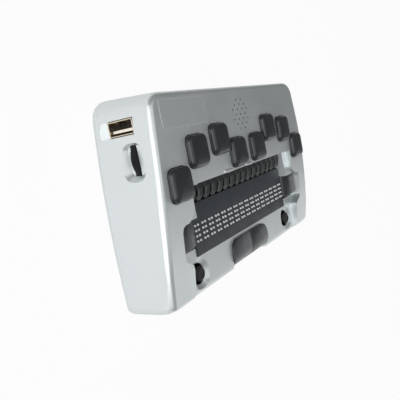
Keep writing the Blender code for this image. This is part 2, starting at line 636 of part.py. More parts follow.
def top_housing():
    bm = bmesh.new()
    case_skin(bm, top_rings())
    shell = publish("top_housing", bm, SILVER_PAINT)
    combine(shell, "DIFFERENCE", cavity())

    bm = bmesh.new()
    for x, y in SCREW_PLACES:
        rod(bm, x, y, SEAM_Z + BOSS_SPLIT_RISE, face_z(y) - WALL / 2, BOSS_RADIUS)
    for side in (-1, 1):
        for x, y in HANGER_PLACES:
            rod(bm, side * x, y, KEY_BOARD_TOP_Z + GAP, face_z(y) - WALL / 2, STEM_RADIUS + GAP)
    combine(shell, "UNION", cutter("top_bosses", bm))

    bm = bmesh.new()
    plate(bm, deck_outline(0.0), DECK_Z, CREST_Z + OVERRUN)
    cuts = [cutter("deck_recess", bm)]
    bm = bmesh.new()
    for side in (-1, 1):
        plate(bm, cup_outline(side, 0.0), CUP_Z, CREST_Z + OVERRUN)
    cuts.append(cutter("side_cups", bm))

    # Front edge of the deck: a quarter round along X, cut as its outside
    deck_x = PLATE_HALF + DECK_MARGIN
    bm = bmesh.new()
    centre_y, centre_z = FRONT_Y + DECK_NOSE, DECK_Z - DECK_NOSE
    profile = [(centre_y - DECK_NOSE * sin(radians(a)), centre_z + DECK_NOSE * cos(radians(a)))
               for a in ROUND_ANGLES]
    profile += [(FRONT_Y - OVERRUN, centre_z), (FRONT_Y - OVERRUN, CREST_Z), (centre_y, CREST_Z)]
    loft(bm, [[(x, y, z) for y, z in profile] for x in (-deck_x, deck_x)])
    cuts.append(cutter("deck_nose", bm))

    # Opening of the display and the buttons, through the deck
    plate_x = PLATE_HALF + GAP
    button_x = BUTTON_X + BUTTON_WIDTH / 2 + GAP
    bm = bmesh.new()
    right = [(plate_x, PLATE_FRONT_Y - GAP, GAP), (plate_x, BUTTON_BACK_Y - BUTTON_DEPTH - GAP, GAP),
             (button_x, BUTTON_BACK_Y - BUTTON_DEPTH - GAP, BUTTON_CORNER),
             (button_x, BUTTON_BACK_Y + GAP, BUTTON_CORNER),
             (plate_x, BUTTON_BACK_Y + GAP, GAP), (plate_x, RECESS_BACK_Y, GAP)]
    opening = rounded(right + [(-x, y, radius) for x, y, radius in reversed(right)])
    plate(bm, opening, DECK_Z - DECK_WALL - OVERRUN, DECK_Z + GAP)
    cuts.append(cutter("display_opening", bm))

    # Notch of the space keys, through the deck and the front wall
    bm = bmesh.new()
    half = SPACE_WIDTH + GAP
    corners = [(-half, FRONT_Y - OVERRUN, GAP), (half, FRONT_Y - OVERRUN, GAP),
               (half, SPACE_BACK_Y + GAP, SPACE_CORNER + GAP),
               (-half, SPACE_BACK_Y + GAP, SPACE_CORNER + GAP)]
    plate(bm, rounded(corners, SMOOTH_STEPS), SPACE_BOTTOM_Z - SPACE_TRAVEL - GAP, DECK_Z + OVERRUN)
    cuts.append(cutter("space_notch", bm))

    # Joystick holes and their dishes
    bm = bmesh.new()
    for side in (-1, 1):
        rod(bm, side * STICK_X, STICK_Y, DECK_Z - STICK_DISH_DEPTH, DECK_Z + GAP, STICK_HOLE,
            STICK_DISH + (STICK_DISH - STICK_HOLE) * GAP / STICK_DISH_DEPTH, 2 * ROUND_SIDES)
    cuts.append(cutter("stick_dishes", bm))
    bm = bmesh.new()
    for side in (-1, 1):
        rod(bm, side * STICK_X, STICK_Y, DECK_Z - DECK_WALL - OVERRUN, DECK_Z, STICK_HOLE,
            sides=2 * ROUND_SIDES)
    cuts.append(cutter("stick_holes", bm))

    # Key wells, with a level seat for each key's lip, deep enough for its travel
    well_depth = GAP + KEY_LIP_THICKNESS + KEY_TRAVEL + GAP
    bm = bmesh.new()
    for _, x, y in key_places():
        half_x, half_y = KEY_WIDTH / 2 + GAP, KEY_DEPTH / 2 + GAP
        ring = block_ring(x - half_x, x + half_x, y - half_y, y + half_y, 0.0, KEY_CORNER + GAP)
        plate(bm, [point[:2] for point in ring], key_seat_z(y) - well_depth, CREST_Z + OVERRUN)
    cuts.append(cutter("key_wells", bm))
    for name, x, y in key_places():
        bm = bmesh.new()
        ring = key_ring(x, y, GAP / 2, key_seat_z(y), GAP, KEY_LIP + GAP / 2)
        plate(bm, [point[:2] for point in ring], key_seat_z(y) - well_depth - GAP,
              key_seat_z(y))
        cuts.append(cutter(f"{name}_seat", bm))

    # Speaker grille: staggered rows
    bm = bmesh.new()
    for row in range(-3, 4):
        odd = row % 2
        columns = (-0.5, 0.5) if abs(row) == 3 else (-1.5, -0.5, 0.5, 1.5) if odd else (-1, 0, 1)
        for column in columns:
            rod(bm, column * GRILLE_PITCH, SPEAKER_Y + row * GRILLE_ROW_PITCH,
                CREST_Z - WALL - OVERRUN, CREST_Z + OVERRUN, GRILLE_HOLE, sides=GRILLE_SIDES)
    cuts.append(cutter("grille_holes", bm))

    # Left side: socket window, finger dish and the wheel's slot
    bm = bmesh.new()
    half_y, half_z = SOCKET_WIDTH / 2 + GAP, SOCKET_HEIGHT / 2 + GAP
    socket_z = SOCKET_LOW_Z + SOCKET_HEIGHT / 2
    box(bm, (-CASE_HALF_WIDTH - OVERRUN, SOCKET_Y - half_y, socket_z - half_z),
        (OVERRUN - side_x(BACK_Y), SOCKET_Y + half_y, socket_z + half_z))
    cuts.append(cutter("socket_window", bm))
    bm = bmesh.new()
    wall_x, ramp_z = -side_x(SOCKET_Y), socket_z - half_z
    profile = [(wall_x - OVERRUN, ramp_z - SOCKET_RAMP_HEIGHT), (wall_x, ramp_z - SOCKET_RAMP_HEIGHT),
               (wall_x + SOCKET_RAMP_DEPTH, ramp_z), (wall_x + SOCKET_RAMP_DEPTH, socket_z),
               (wall_x - OVERRUN, socket_z)]
    loft(bm, [[(x, y, z) for x, z in profile] for y in (SOCKET_Y - half_y, SOCKET_Y + half_y)])
    cuts.append(cutter("socket_ramp", bm))
    bm = bmesh.new()
    wall_x = -side_x(WHEEL_Y)
    rings = []
    for x, shrink in ((wall_x - DISH_DEPTH, -DISH_SLOPE), (wall_x, 0.0),
                      (wall_x + DISH_DEPTH / 2, DISH_SLOPE / 2),
                      (wall_x + DISH_DEPTH, DISH_SLOPE)):
        half_y, half_z = DISH_LENGTH / 2 - shrink, DISH_HEIGHT / 2 - shrink
        ring = block_ring(-half_y, half_y, -half_z, half_z, 0.0, DISH_CORNER - shrink, SMOOTH_STEPS)
        rings.append([(x, WHEEL_Y + y, WHEEL_Z + DISH_RISE + z) for y, z, _ in ring])
    loft(bm, rings)
    cuts.append(cutter("finger_dish", bm))
    bm = bmesh.new()
    rod(bm, -WHEEL_X, WHEEL_Y, WHEEL_Z - WHEEL_THICKNESS / 2 - GAP,
        WHEEL_Z + WHEEL_THICKNESS / 2 + GAP, WHEEL_RADIUS + GAP, sides=4 * ROUND_SIDES)
    cuts.append(cutter("wheel_slot", bm))

    # Right side: charging socket, headphone jack and power slider
    wall_in = side_x(BACK_Y) - OVERRUN
    bm = bmesh.new()
    charge_z = MAIN_TOP_Z + GAP + CHARGE_HEIGHT / 2
    box(bm, (wall_in, CHARGE_Y - CHARGE_WIDTH / 2 - GAP, charge_z - CHARGE_HEIGHT / 2 - GAP),
        (CASE_HALF_WIDTH + OVERRUN, CHARGE_Y + CHARGE_WIDTH / 2 + GAP,
         charge_z + CHARGE_HEIGHT / 2 + GAP))
    jack_z = MAIN_TOP_Z + GAP + JACK_SIDE / 2
    side_rod(bm, wall_in, CASE_HALF_WIDTH + OVERRUN, JACK_Y, jack_z, JACK_SIDE / 2)
    slot_y = (POWER_KNOB[1] + POWER_TRAVEL) / 2 + GAP
    slot_z = POWER_KNOB[2] / 2 + GAP
    power_z = MAIN_TOP_Z + GAP + POWER_BODY[2] / 2
    box(bm, (wall_in, POWER_Y - slot_y, power_z - slot_z),
        (CASE_HALF_WIDTH + OVERRUN, POWER_Y + slot_y, power_z + slot_z))
    cuts.append(cutter("right_windows", bm))

    bm = bmesh.new()
    for x, y in SCREW_PLACES:
        rod(bm, x, y, SEAM_Z - OVERRUN, BASE_Z + SCREW_HEAD_SINK + SCREW_LENGTH + GAP,
            SCREW_SHANK_RADIUS + GAP)
    cuts.append(cutter("screw_bores_top", bm))
    combine(shell, "DIFFERENCE", *cuts)


def bottom_housing():
    bm = bmesh.new()
    loft(bm, bottom_rings())
    tray = publish("bottom_housing", bm, SILVER_PAINT)
    bm = bmesh.new()
    loft(bm, [case_ring(lambda y: WALL, lambda y, point_y: z)
              for z in (FLOOR_Z, SEAM_Z + OVERRUN)])
    combine(tray, "DIFFERENCE", cutter("tray_cavity", bm))
    bm = bmesh.new()
    for x, y in SCREW_PLACES:
        rod(bm, x, y, FLOOR_Z - WALL / 2, SEAM_Z + BOSS_SPLIT_RISE - GAP, BOSS_RADIUS)
    for side in (-1, 1):
        for y in POST_YS:
            rod(bm, side * POST_X, y, FLOOR_Z - WALL / 2, MAIN_BOARD_Z - GAP, POST_RADIUS)
    combine(tray, "UNION", cutter("bottom_bosses", bm))
    bm = bmesh.new()
    for x, y in SCREW_PLACES:
        rod(bm, x, y, BASE_Z - OVERRUN, SEAM_Z + OVERRUN, SCREW_SHANK_RADIUS + GAP)
    shanks = cutter("screw_bores_bottom", bm)
    bm = bmesh.new()
    for x, y in SCREW_PLACES:
        rod(bm, x, y, BASE_Z - OVERRUN, BASE_Z + SCREW_HEAD_SINK + SCREW_HEAD_HEIGHT + GAP,
            SCREW_HEAD_RADIUS + GAP)
    heads = cutter("screw_counterbores", bm)
    bm = bmesh.new()
    for x, y in foot_places():
        rod(bm, x, y, BASE_Z - OVERRUN, BASE_Z + FOOT_SEAT, FOOT_RADIUS + GAP, sides=FOOT_SIDES)
    combine(tray, "DIFFERENCE", shanks, heads, cutter("foot_seats", bm))


def foot_places():
    return [(side * (side_x(0.0) - FOOT_FROM_SIDE), end * (BACK_Y - FOOT_FROM_END))
            for side in (-1, 1) for end in (-1, 1)]


def rubber_feet():
    for (x, y), name in zip(foot_places(), FOOT_NAMES):
        bm = bmesh.new()
        rod(bm, x, y, 0.0, BASE_Z + FOOT_SEAT - GAP, FOOT_RADIUS, sides=FOOT_SIDES)
        publish(f"rubber_foot_{name}", bm, RUBBER, (x, y, 0.0))


# Braille line
def cell_x(cell):
    return (cell - (CELLS - 1) / 2) * CELL_PITCH


def dot_places(row):
    """Both columns of one row of dots, in every cell."""
    y = FIRST_DOT_Y - row * DOT_PITCH
    for cell in range(CELLS):
        for column in (-0.5, 0.5):
            yield cell_x(cell) + column * DOT_PITCH, y


def pin(bm, x, y, *profile):
    """A pin: rings of the given radius and height, from below."""
    loft(bm, [[(x + radius * cos(2 * pi * k / PIN_SIDES), y + radius * sin(2 * pi * k / PIN_SIDES), z)
               for k in range(PIN_SIDES)] for radius, z in profile])


def display_plate():
    """The plate, open for the first cell's pins. The other cells' pins stand fused to it."""
    bm = bmesh.new()
    box(bm, (-PLATE_HALF, PLATE_FRONT_Y, PLATE_Z), (PLATE_HALF, PLATE_BACK_Y, DISPLAY_Z), GAP, 1)
    sheet = publish("display_plate", bm, PLATE_PLASTIC)
    dots, holes = bmesh.new(), bmesh.new()
    for row in range(DOT_ROWS):
        for x, y in dot_places(row):
            if x < cell_x(1) - CELL_PITCH / 2:
                rod(holes, x, y, PLATE_Z - GAP, DISPLAY_Z + GAP, PIN_RADIUS + PIN_GAP, sides=PIN_SIDES)
            else:
                pin(dots, x, y, (PIN_RADIUS, DISPLAY_Z - GAP), (PIN_TIP_RADIUS, PIN_TOP_Z))
    combine(sheet, "UNION", cutter("raised_dots", dots))
    combine(sheet, "DIFFERENCE", cutter("dot_holes", holes))


def braille_pins():
    """The first cell's eight pins, raised: dots 1, 2, 3, 7 in the left column, 4, 5, 6, 8 right."""
    for row, dots in enumerate(DOT_NUMBERS):
        for dot, (x, y) in zip(dots, dot_places(row)):
            bm = bmesh.new()
            pin(bm, x, y, (PIN_RADIUS, PLATE_Z + DOT_TRAVEL), (PIN_RADIUS, PIN_TOP_Z - PIN_TIP_HEIGHT),
                (PIN_TIP_RADIUS, PIN_TOP_Z))
            publish(f"pin_dot_{dot}", bm, PIN_PLASTIC, (x, y, DISPLAY_Z))


def braille_cells():
    """Sixteen cells plugged on their backplane: a cap end under the plate, a lower end for the reeds."""
    bm = bmesh.new()
    box(bm, (-PLATE_HALF, CELL_FRONT_Y + BACKPLANE_MARGIN, MAIN_TOP_Z + GAP),
        (PLATE_HALF, CELL_BACK_Y - BACKPLANE_MARGIN, BACKPLANE_TOP_Z))
    block = publish("braille_cells", bm, CELL_PLASTIC)
    bm = bmesh.new()
    half = (CELL_PITCH - GAP) / 2
    step_y = PLATE_BACK_Y - GAP
    low_z = BACKPLANE_TOP_Z - GAP
    profile = [(CELL_FRONT_Y, low_z), (CELL_BACK_Y, low_z), (CELL_BACK_Y, CELL_TOP_Z - CELL_BACK_DROP),
               (step_y, CELL_TOP_Z - CELL_BACK_DROP), (step_y, CELL_TOP_Z), (CELL_FRONT_Y, CELL_TOP_Z)]
    for cell in range(CELLS):
        loft(bm, [[(x, y, z) for y, z in profile]
                  for x in (cell_x(cell) - half, cell_x(cell) + half)])
    combine(block, "UNION", cutter("cell_blocks", bm))


def switch_on(bodies, wells, x, y, board_z, travel):
    """A soldered switch with a well for the stem above it, deep enough for the key's travel."""
    half = SWITCH_SIDE / 2
    hole = STEM_RADIUS + GAP
    top_z = board_z + GAP + SWITCH_HEIGHT
    floor_z = top_z - SWITCH_ENTRY - travel - GAP
    box(bodies, (x - half, y - half, board_z - GAP), (x + half, y + half, top_z))
    box(wells, (x - hole, y - hole, floor_z), (x + hole, y + hole, top_z + OVERRUN))


def main_board():
    """The main board, with the switches of the buttons and space keys and the joysticks' bases."""
    bm = bmesh.new()
    half = side_x(BACK_Y) - MAIN_BOARD_SIDE_GAP
    end = BACK_Y - MAIN_BOARD_END_GAP
    box(bm, (-half, -end, MAIN_BOARD_Z), (half, end, MAIN_TOP_Z), SCREW_HEAD_RADIUS, 1)
    board = publish("main_board", bm, BOARD_LAMINATE)
    bodies, wells = bmesh.new(), bmesh.new()
    half = STICK_BASE_SIDE / 2
    for side in (-1, 1):
        switch_on(bodies, wells, side * BUTTON_X, BUTTON_Y, MAIN_TOP_Z, BUTTON_TRAVEL)
        switch_on(bodies, wells, side * SPACE_X, SPACE_Y, MAIN_TOP_Z, SPACE_TRAVEL)
        x = side * STICK_X
        box(bodies, (x - half, STICK_Y - half, MAIN_TOP_Z - GAP),
            (x + half, STICK_Y + half, STICK_BASE_TOP_Z), GAP, 1)
        rod(wells, x, STICK_Y, STICK_PIVOT_Z - STICK_BALL_RADIUS - GAP, STICK_BASE_TOP_Z + OVERRUN,
            STICK_RING_OUTER + GAP)
    box(wells, (-side_x(BACK_Y), SOCKET_Y - SOCKET_WIDTH / 2 - GAP, MAIN_BOARD_Z - GAP),
        (SOCKET_RECESS + SOCKET_DEPTH + GAP - side_x(SOCKET_Y), BACK_Y, MAIN_TOP_Z + GAP))
    combine(board, "UNION", cutter("main_board_parts", bodies))
    combine(board, "DIFFERENCE", cutter("main_board_wells", wells))


def key_board():
    """The braille keys' board. It clears the display's walls in front and the wheel on the left."""
    outer = CASE_HALF_WIDTH - KEY_MARGIN
    front = RECESS_BACK_Y + KEY_SETBACKS[-1] - SWITCH_SIDE
    middle_front = RECESS_BACK_Y + WALL + GAP
    middle_x = PLATE_HALF + WALL + GAP + GAP
    wheel_x = WHEEL_X - WHEEL_RADIUS - GAP
    wheel_y = WHEEL_Y - WHEEL_RADIUS - GAP
    back = front + KEY_BOARD_DEPTH + KEY_BOARD_SIDE_MARGIN
    corners = [(-outer, front), (-middle_x, front), (-middle_x, middle_front),
               (middle_x, middle_front), (middle_x, front), (outer, front), (outer, back),
               (-wheel_x, back), (-wheel_x, wheel_y), (-outer, wheel_y)]
    bm = bmesh.new()
    loft(bm, [[(x, y, z) for x, y in corners] for z in (KEY_BOARD_Z, KEY_BOARD_TOP_Z)])
    board = publish("key_board", bm, BOARD_LAMINATE)
    bodies, wells = bmesh.new(), bmesh.new()
    for _, x, y in key_places():
        switch_on(bodies, wells, x, y, KEY_BOARD_TOP_Z, KEY_TRAVEL)
    combine(board, "UNION", cutter("key_board_switches", bodies))
    combine(board, "DIFFERENCE", cutter("key_board_wells", wells))


def battery_pack():
    bm = bmesh.new()
    box(bm, (-BATTERY_WIDTH / 2, BATTERY_Y - BATTERY_DEPTH / 2, FLOOR_Z + GAP),
        (BATTERY_WIDTH / 2, BATTERY_Y + BATTERY_DEPTH / 2, FLOOR_Z + GAP + BATTERY_THICKNESS),
        BATTERY_THICKNESS / 3, 2, "Y")
    publish("battery_pack", bm, BATTERY_WRAP)


# Keys and buttons
def stem_rings(x, y, low_z, high_z):
    return [block_ring(x - STEM_RADIUS, x + STEM_RADIUS, y - STEM_RADIUS, y + STEM_RADIUS, z,
                       STEM_RADIUS - GAP) for z in (low_z, high_z)]


def braille_keys():
    for name, x, y in key_places():
        lip_z = key_seat_z(y) - GAP
        top_z = face_z(y) + KEY_PROUD
        rings = stem_rings(x, y, KEY_BOARD_TOP_Z + GAP + SWITCH_HEIGHT - SWITCH_ENTRY,
                           lip_z - KEY_LIP_THICKNESS)
        rings += [key_ring(x, y, 0.0, lip_z - KEY_LIP_THICKNESS, KEY_CORNER, KEY_LIP),
                  key_ring(x, y, 0.0, lip_z, KEY_CORNER, KEY_LIP),
                  key_ring(x, y, 0.0, lip_z, KEY_CORNER),
                  key_ring(x, y, 0.0, top_z - KEY_CROWN - KEY_EDGE, KEY_CORNER),
                  key_ring(x, y, -KEY_EDGE / 3, top_z - KEY_CROWN - KEY_EDGE / 3, KEY_CORNER),
                  key_ring(x, y, -KEY_EDGE, top_z - KEY_CROWN, KEY_CORNER),
                  key_ring(x, y, -KEY_WIDTH / 4, top_z, KEY_CORNER)]
        bm = bmesh.new()
        loft(bm, rings)
        publish(name, bm, KEY_PLASTIC, (x, y, top_z))


def function_buttons():
    for side, name in ((-1, "left"), (1, "right")):
        inner, outer = BUTTON_X - BUTTON_WIDTH / 2, BUTTON_X + BUTTON_WIDTH / 2
        low_y, high_y = BUTTON_BACK_Y - BUTTON_DEPTH, BUTTON_BACK_Y
        lip_z = DECK_Z - DECK_WALL - GAP
        top_z = DECK_Z + BUTTON_PROUD

        def ring(grow, z, lip=0.0):
            low_x, high_x = outward(side, inner - min(grow, 0.0), outer + grow + lip)
            return block_ring(low_x, high_x, low_y - grow - lip, high_y + grow + lip, z, BUTTON_CORNER)

        rings = stem_rings(side * BUTTON_X, BUTTON_Y, MAIN_TOP_Z + GAP + SWITCH_HEIGHT - SWITCH_ENTRY,
                           lip_z - KEY_LIP_THICKNESS)
        rings += [ring(0.0, lip_z - KEY_LIP_THICKNESS, KEY_LIP + GAP), ring(0.0, lip_z, KEY_LIP + GAP),
                  ring(0.0, lip_z), ring(0.0, top_z - KEY_EDGE), ring(-KEY_EDGE / 3, top_z - KEY_EDGE / 3),
                  ring(-KEY_EDGE, top_z)]
        bm = bmesh.new()
        loft(bm, rings)
        publish(f"function_button_{name}", bm, KEY_PLASTIC, (side * BUTTON_X, BUTTON_Y, top_z))


def space_keys():
    lip_z = DECK_Z - DECK_WALL - GAP
    for side, name in ((-1, "left"), (1, "right")):
        def ring(z, front=0.0, lip=0.0):
            drop = SPACE_TOP_Z - z
            shrink = 0.0
            if drop < SPACE_EDGE:
                shrink = SPACE_EDGE - sqrt(SPACE_EDGE ** 2 - (SPACE_EDGE - drop) ** 2)
            inner, outer = GAP / 2, SPACE_WIDTH - shrink
            corners = [(inner, SPACE_FRONT_Y + front, GAP), (outer, SPACE_FRONT_Y + front, GAP),
                       (outer, SPACE_BACK_Y - shrink + lip, SPACE_CORNER),
                       (inner, SPACE_BACK_Y - shrink + lip, GAP)]
            if side < 0:
                corners = [(-x, y, radius) for x, y, radius in reversed(corners)]
            return [(x, y, z) for x, y in rounded(corners)]

        x, y = side * SPACE_X, SPACE_Y
        lip_low = lip_z - KEY_LIP_THICKNESS
        rings = stem_rings(x, y, MAIN_TOP_Z + GAP + SWITCH_HEIGHT - SWITCH_ENTRY, SPACE_BOTTOM_Z)
        rings.append(ring(SPACE_BOTTOM_Z))
        for degrees in ROUND_ANGLES:
            angle = radians(degrees)
            z = SPACE_TOP_Z - SPACE_NOSE_DROP * (1 - sin(angle))
            front = SPACE_NOSE_DEPTH * (1 - cos(angle))
            if rings[-1][0][2] < lip_low <= z:
                rings += [ring(lip_low, front / 2), ring(lip_low, front / 2, SPACE_EDGE),
                          ring(lip_z, front / 2, SPACE_EDGE), ring(lip_z, front / 2)]
            if z > lip_z or z < lip_low:
                rings.append(ring(z, front))
        bm = bmesh.new()
        loft(bm, rings)
        publish(f"space_key_{name}", bm, KEY_PLASTIC, (x, y, SPACE_TOP_Z))


def routing_keys():
    """One key behind each cell: a hollowed tile between two ribs, lower at its front edge."""
    low_z = CELL_TOP_Z - CELL_BACK_DROP + GAP + ROUTING_TRAVEL
    half = (CELL_PITCH - GAP) / 2
    for cell in range(CELLS):
        x = cell_x(cell)

        def ring(y, drop):
            rib_z = DISPLAY_Z + ROUTING_TOP_RISE - drop
            top = [(x + share * half, y, rib_z - ROUTING_HOLLOW * (1 - share * share))
                   for share in reversed(ROUTING_ARC_SHARES)]
            return [(x - half, y, low_z), (x + half, y, low_z)] + top

        bm = bmesh.new()
        loft(bm, [ring(ROUTING_FRONT_Y, ROUTING_TOP_RISE - GAP / 2),
                  ring(ROUTING_FRONT_Y + ROUTING_NOSE, GAP), ring(ROUTING_BACK_Y, 0.0)])
        publish(f"routing_key_{cell + 1:02d}", bm, KEY_PLASTIC,
                (x, (ROUTING_FRONT_Y + ROUTING_BACK_Y) / 2, DISPLAY_Z))


# Joysticks: a cap on a ball, in a rocking ring, in a base on the main board
def joysticks():
    for side, name in ((-1, "left"), (1, "right")):
        x = side * STICK_X
        bm, hole = bmesh.new(), bmesh.new()
        low, high = STICK_PIVOT_Z - STICK_RING_HEIGHT / 2, STICK_PIVOT_Z + STICK_RING_HEIGHT / 2
        rod(bm, x, STICK_Y, low, high, STICK_RING_OUTER)
        rod(hole, x, STICK_Y, low - GAP, high + GAP, STICK_BALL_RADIUS + GAP)
        ring = publish(f"joystick_ring_{name}", bm, CELL_PLASTIC, (x, STICK_Y, STICK_PIVOT_Z))
        combine(ring, "DIFFERENCE", cutter(f"ring_bore_{name}", hole))
        cap_top = DECK_Z + STICK_CAP_PROUD
        cap_low = cap_top - STICK_CAP_HEIGHT
        ball = STICK_BALL_RADIUS
        ball_side = sqrt(ball * ball - STICK_STEM_RADIUS * STICK_STEM_RADIUS)
        profile = [(0.0, cap_top - GAP), (STICK_CAP_RADIUS / 2, cap_top - GAP / 2),
                   (STICK_CAP_RADIUS - GAP, cap_top), (STICK_CAP_RADIUS, cap_top - GAP),
                   (STICK_CAP_RADIUS, cap_low), (STICK_STEM_RADIUS, cap_low),
                   (STICK_STEM_RADIUS, STICK_PIVOT_Z + ball_side), (ball, STICK_PIVOT_Z),
                   (STICK_STEM_RADIUS, STICK_PIVOT_Z - ball_side), (0.0, STICK_PIVOT_Z - ball)]
        cap = turned(f"joystick_cap_{name}", [(radius, z - STICK_PIVOT_Z) for radius, z in profile],
                     x, STICK_Y, RUBBER)
        cap.location.z = STICK_PIVOT_Z * MM


def speaker():
    top = CREST_Z - WALL - GAP
    rim = SPEAKER_HEIGHT / 3
    back = top - SPEAKER_HEIGHT
    turned("speaker", [(0.0, top), (SPEAKER_RADIUS, top), (SPEAKER_RADIUS, top - rim),
                       (SPEAKER_RADIUS / 2 + rim, top - 2 * rim), (SPEAKER_RADIUS / 2, back),
                       (0.0, back)], 0.0, SPEAKER_Y, CELL_PLASTIC)


# Left side
def host_socket():
    low_x = SOCKET_RECESS - side_x(SOCKET_Y)
    high_x = low_x + SOCKET_DEPTH
    low_z, half_y = SOCKET_LOW_Z, SOCKET_WIDTH / 2
    bm, hole = bmesh.new(), bmesh.new()
    box(bm, (low_x, SOCKET_Y - half_y, low_z), (high_x, SOCKET_Y + half_y, low_z + SOCKET_HEIGHT))
    box(hole, (low_x - OVERRUN, SOCKET_Y - half_y + SOCKET_SHEET, low_z + SOCKET_SHEET),
        (high_x - SOCKET_SHEET, SOCKET_Y + half_y - SOCKET_SHEET, low_z + SOCKET_HEIGHT - SOCKET_SHEET))
    combine(publish("usb_host_shell", bm, SOCKET_METAL), "DIFFERENCE", cutter("host_mouth", hole))
    bm = bmesh.new()
    tongue_y = SOCKET_Y - half_y + SOCKET_SHEET + GAP
    middle_z = low_z + SOCKET_HEIGHT / 2
    box(bm, (low_x + TONGUE_RECESS, tongue_y, middle_z - TONGUE_WIDTH / 2),
        (high_x - SOCKET_SHEET - GAP, tongue_y + TONGUE_THICKNESS, middle_z + TONGUE_WIDTH / 2))
    publish("usb_host_tongue", bm, TONGUE_PLASTIC)


def volume_control():
    low = MAIN_TOP_Z + GAP
    wheel_low = WHEEL_Z - WHEEL_THICKNESS / 2
    turned("volume_control", [(0.0, WHEEL_Z), (POT_SHAFT_RADIUS, WHEEL_Z),
                              (POT_SHAFT_RADIUS, wheel_low - GAP), (POT_NECK_RADIUS, wheel_low - GAP),
                              (POT_NECK_RADIUS, low + POT_HEIGHT), (POT_RADIUS, low + POT_HEIGHT),
                              (POT_RADIUS, low), (0.0, low)], -WHEEL_X, WHEEL_Y, CELL_PLASTIC)

    def ring(inset, z):
        points = []
        for k in range(2 * WHEEL_RIBS):
            radius = WHEEL_RADIUS - inset - (WHEEL_RIB if k % 2 else 0.0)
            angle = pi * k / WHEEL_RIBS
            points.append((radius * cos(angle) - WHEEL_X, radius * sin(angle) + WHEEL_Y, z))
        return points

    half = WHEEL_THICKNESS / 2
    bm, hole = bmesh.new(), bmesh.new()
    loft(bm, [ring(WHEEL_CHAMFER, WHEEL_Z - half), ring(0.0, WHEEL_Z - half + WHEEL_CHAMFER),
              ring(0.0, WHEEL_Z + half - WHEEL_CHAMFER), ring(WHEEL_CHAMFER, WHEEL_Z + half)])
    rod(hole, -WHEEL_X, WHEEL_Y, WHEEL_Z - half - GAP, WHEEL_Z + GAP, POT_SHAFT_RADIUS + GAP)
    wheel = publish("volume_wheel", bm, KEY_PLASTIC, (-WHEEL_X, WHEEL_Y, WHEEL_Z))
    combine(wheel, "DIFFERENCE", cutter("wheel_bore", hole))


# Right side
def right_side_parts():
    low_z = MAIN_TOP_Z + GAP
    high_x = side_x(CHARGE_Y) - SOCKET_RECESS
    half = CHARGE_WIDTH / 2
    bm, hole = bmesh.new(), bmesh.new()
    box(bm, (high_x - CHARGE_DEPTH, CHARGE_Y - half, low_z),
        (high_x, CHARGE_Y + half, low_z + CHARGE_HEIGHT))
    box(hole, (high_x - CHARGE_MOUTH_DEPTH, CHARGE_Y - half + SOCKET_SHEET, low_z + SOCKET_SHEET),
        (high_x + OVERRUN, CHARGE_Y + half - SOCKET_SHEET, low_z + CHARGE_HEIGHT - SOCKET_SHEET))
    combine(publish("charging_socket", bm, SOCKET_METAL), "DIFFERENCE", cutter("charging_mouth", hole))

    bm, hole = bmesh.new(), bmesh.new()
    half = JACK_SIDE / 2 - GAP
    high_x = inside_x(JACK_Y, half)
    box(bm, (high_x - JACK_LENGTH, JACK_Y - half, low_z), (high_x, JACK_Y + half, low_z + 2 * half))
    jack_z = low_z + half
    side_rod(hole, high_x - JACK_BORE_DEPTH, high_x + OVERRUN, JACK_Y, jack_z, JACK_BORE)
    combine(publish("headphone_jack", bm, CELL_PLASTIC), "DIFFERENCE", cutter("jack_bore", hole))

    depth, width, height = POWER_BODY
    knob_depth, knob_width, knob_height = POWER_KNOB
    power_z = low_z + height / 2
    body_x = inside_x(POWER_Y, width / 2)
    slot_y = (knob_width + POWER_TRAVEL) / 2 + GAP
    slot_z = knob_height / 2 + GAP
    knob_foot = body_x - POWER_STEP
    bm, hole = bmesh.new(), bmesh.new()
    box(bm, (body_x - depth, POWER_Y - width / 2, low_z), (body_x, POWER_Y + width / 2, low_z + height))
    box(hole, (knob_foot - GAP, POWER_Y - slot_y, power_z - slot_z),
        (body_x + OVERRUN, POWER_Y + slot_y, power_z + slot_z))
    combine(publish("power_switch", bm, CELL_PLASTIC), "DIFFERENCE", cutter("power_slot", hole))
    rest_y = POWER_Y - POWER_TRAVEL / 2
    bm = bmesh.new()
    box(bm, (knob_foot, rest_y - knob_width / 2, power_z - knob_height / 2),
        (side_x(POWER_Y) + POWER_PROUD, rest_y + knob_width / 2, power_z + knob_height / 2), GAP, 1, "X")
    publish("power_slider", bm, KEY_PLASTIC, (body_x, rest_y, power_z))


top_housing()
bottom_housing()
rubber_feet()
display_plate()
braille_pins()
braille_cells()
main_board()
key_board()
battery_pack()
braille_keys()
function_buttons()
space_keys()
routing_keys()
joysticks()
speaker()
host_socket()
volume_control()
right_side_parts()
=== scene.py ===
import json
from math import atan2, cos, degrees, pi, radians, sin, sqrt

import bmesh
import bpy
from mathutils import Matrix, Vector


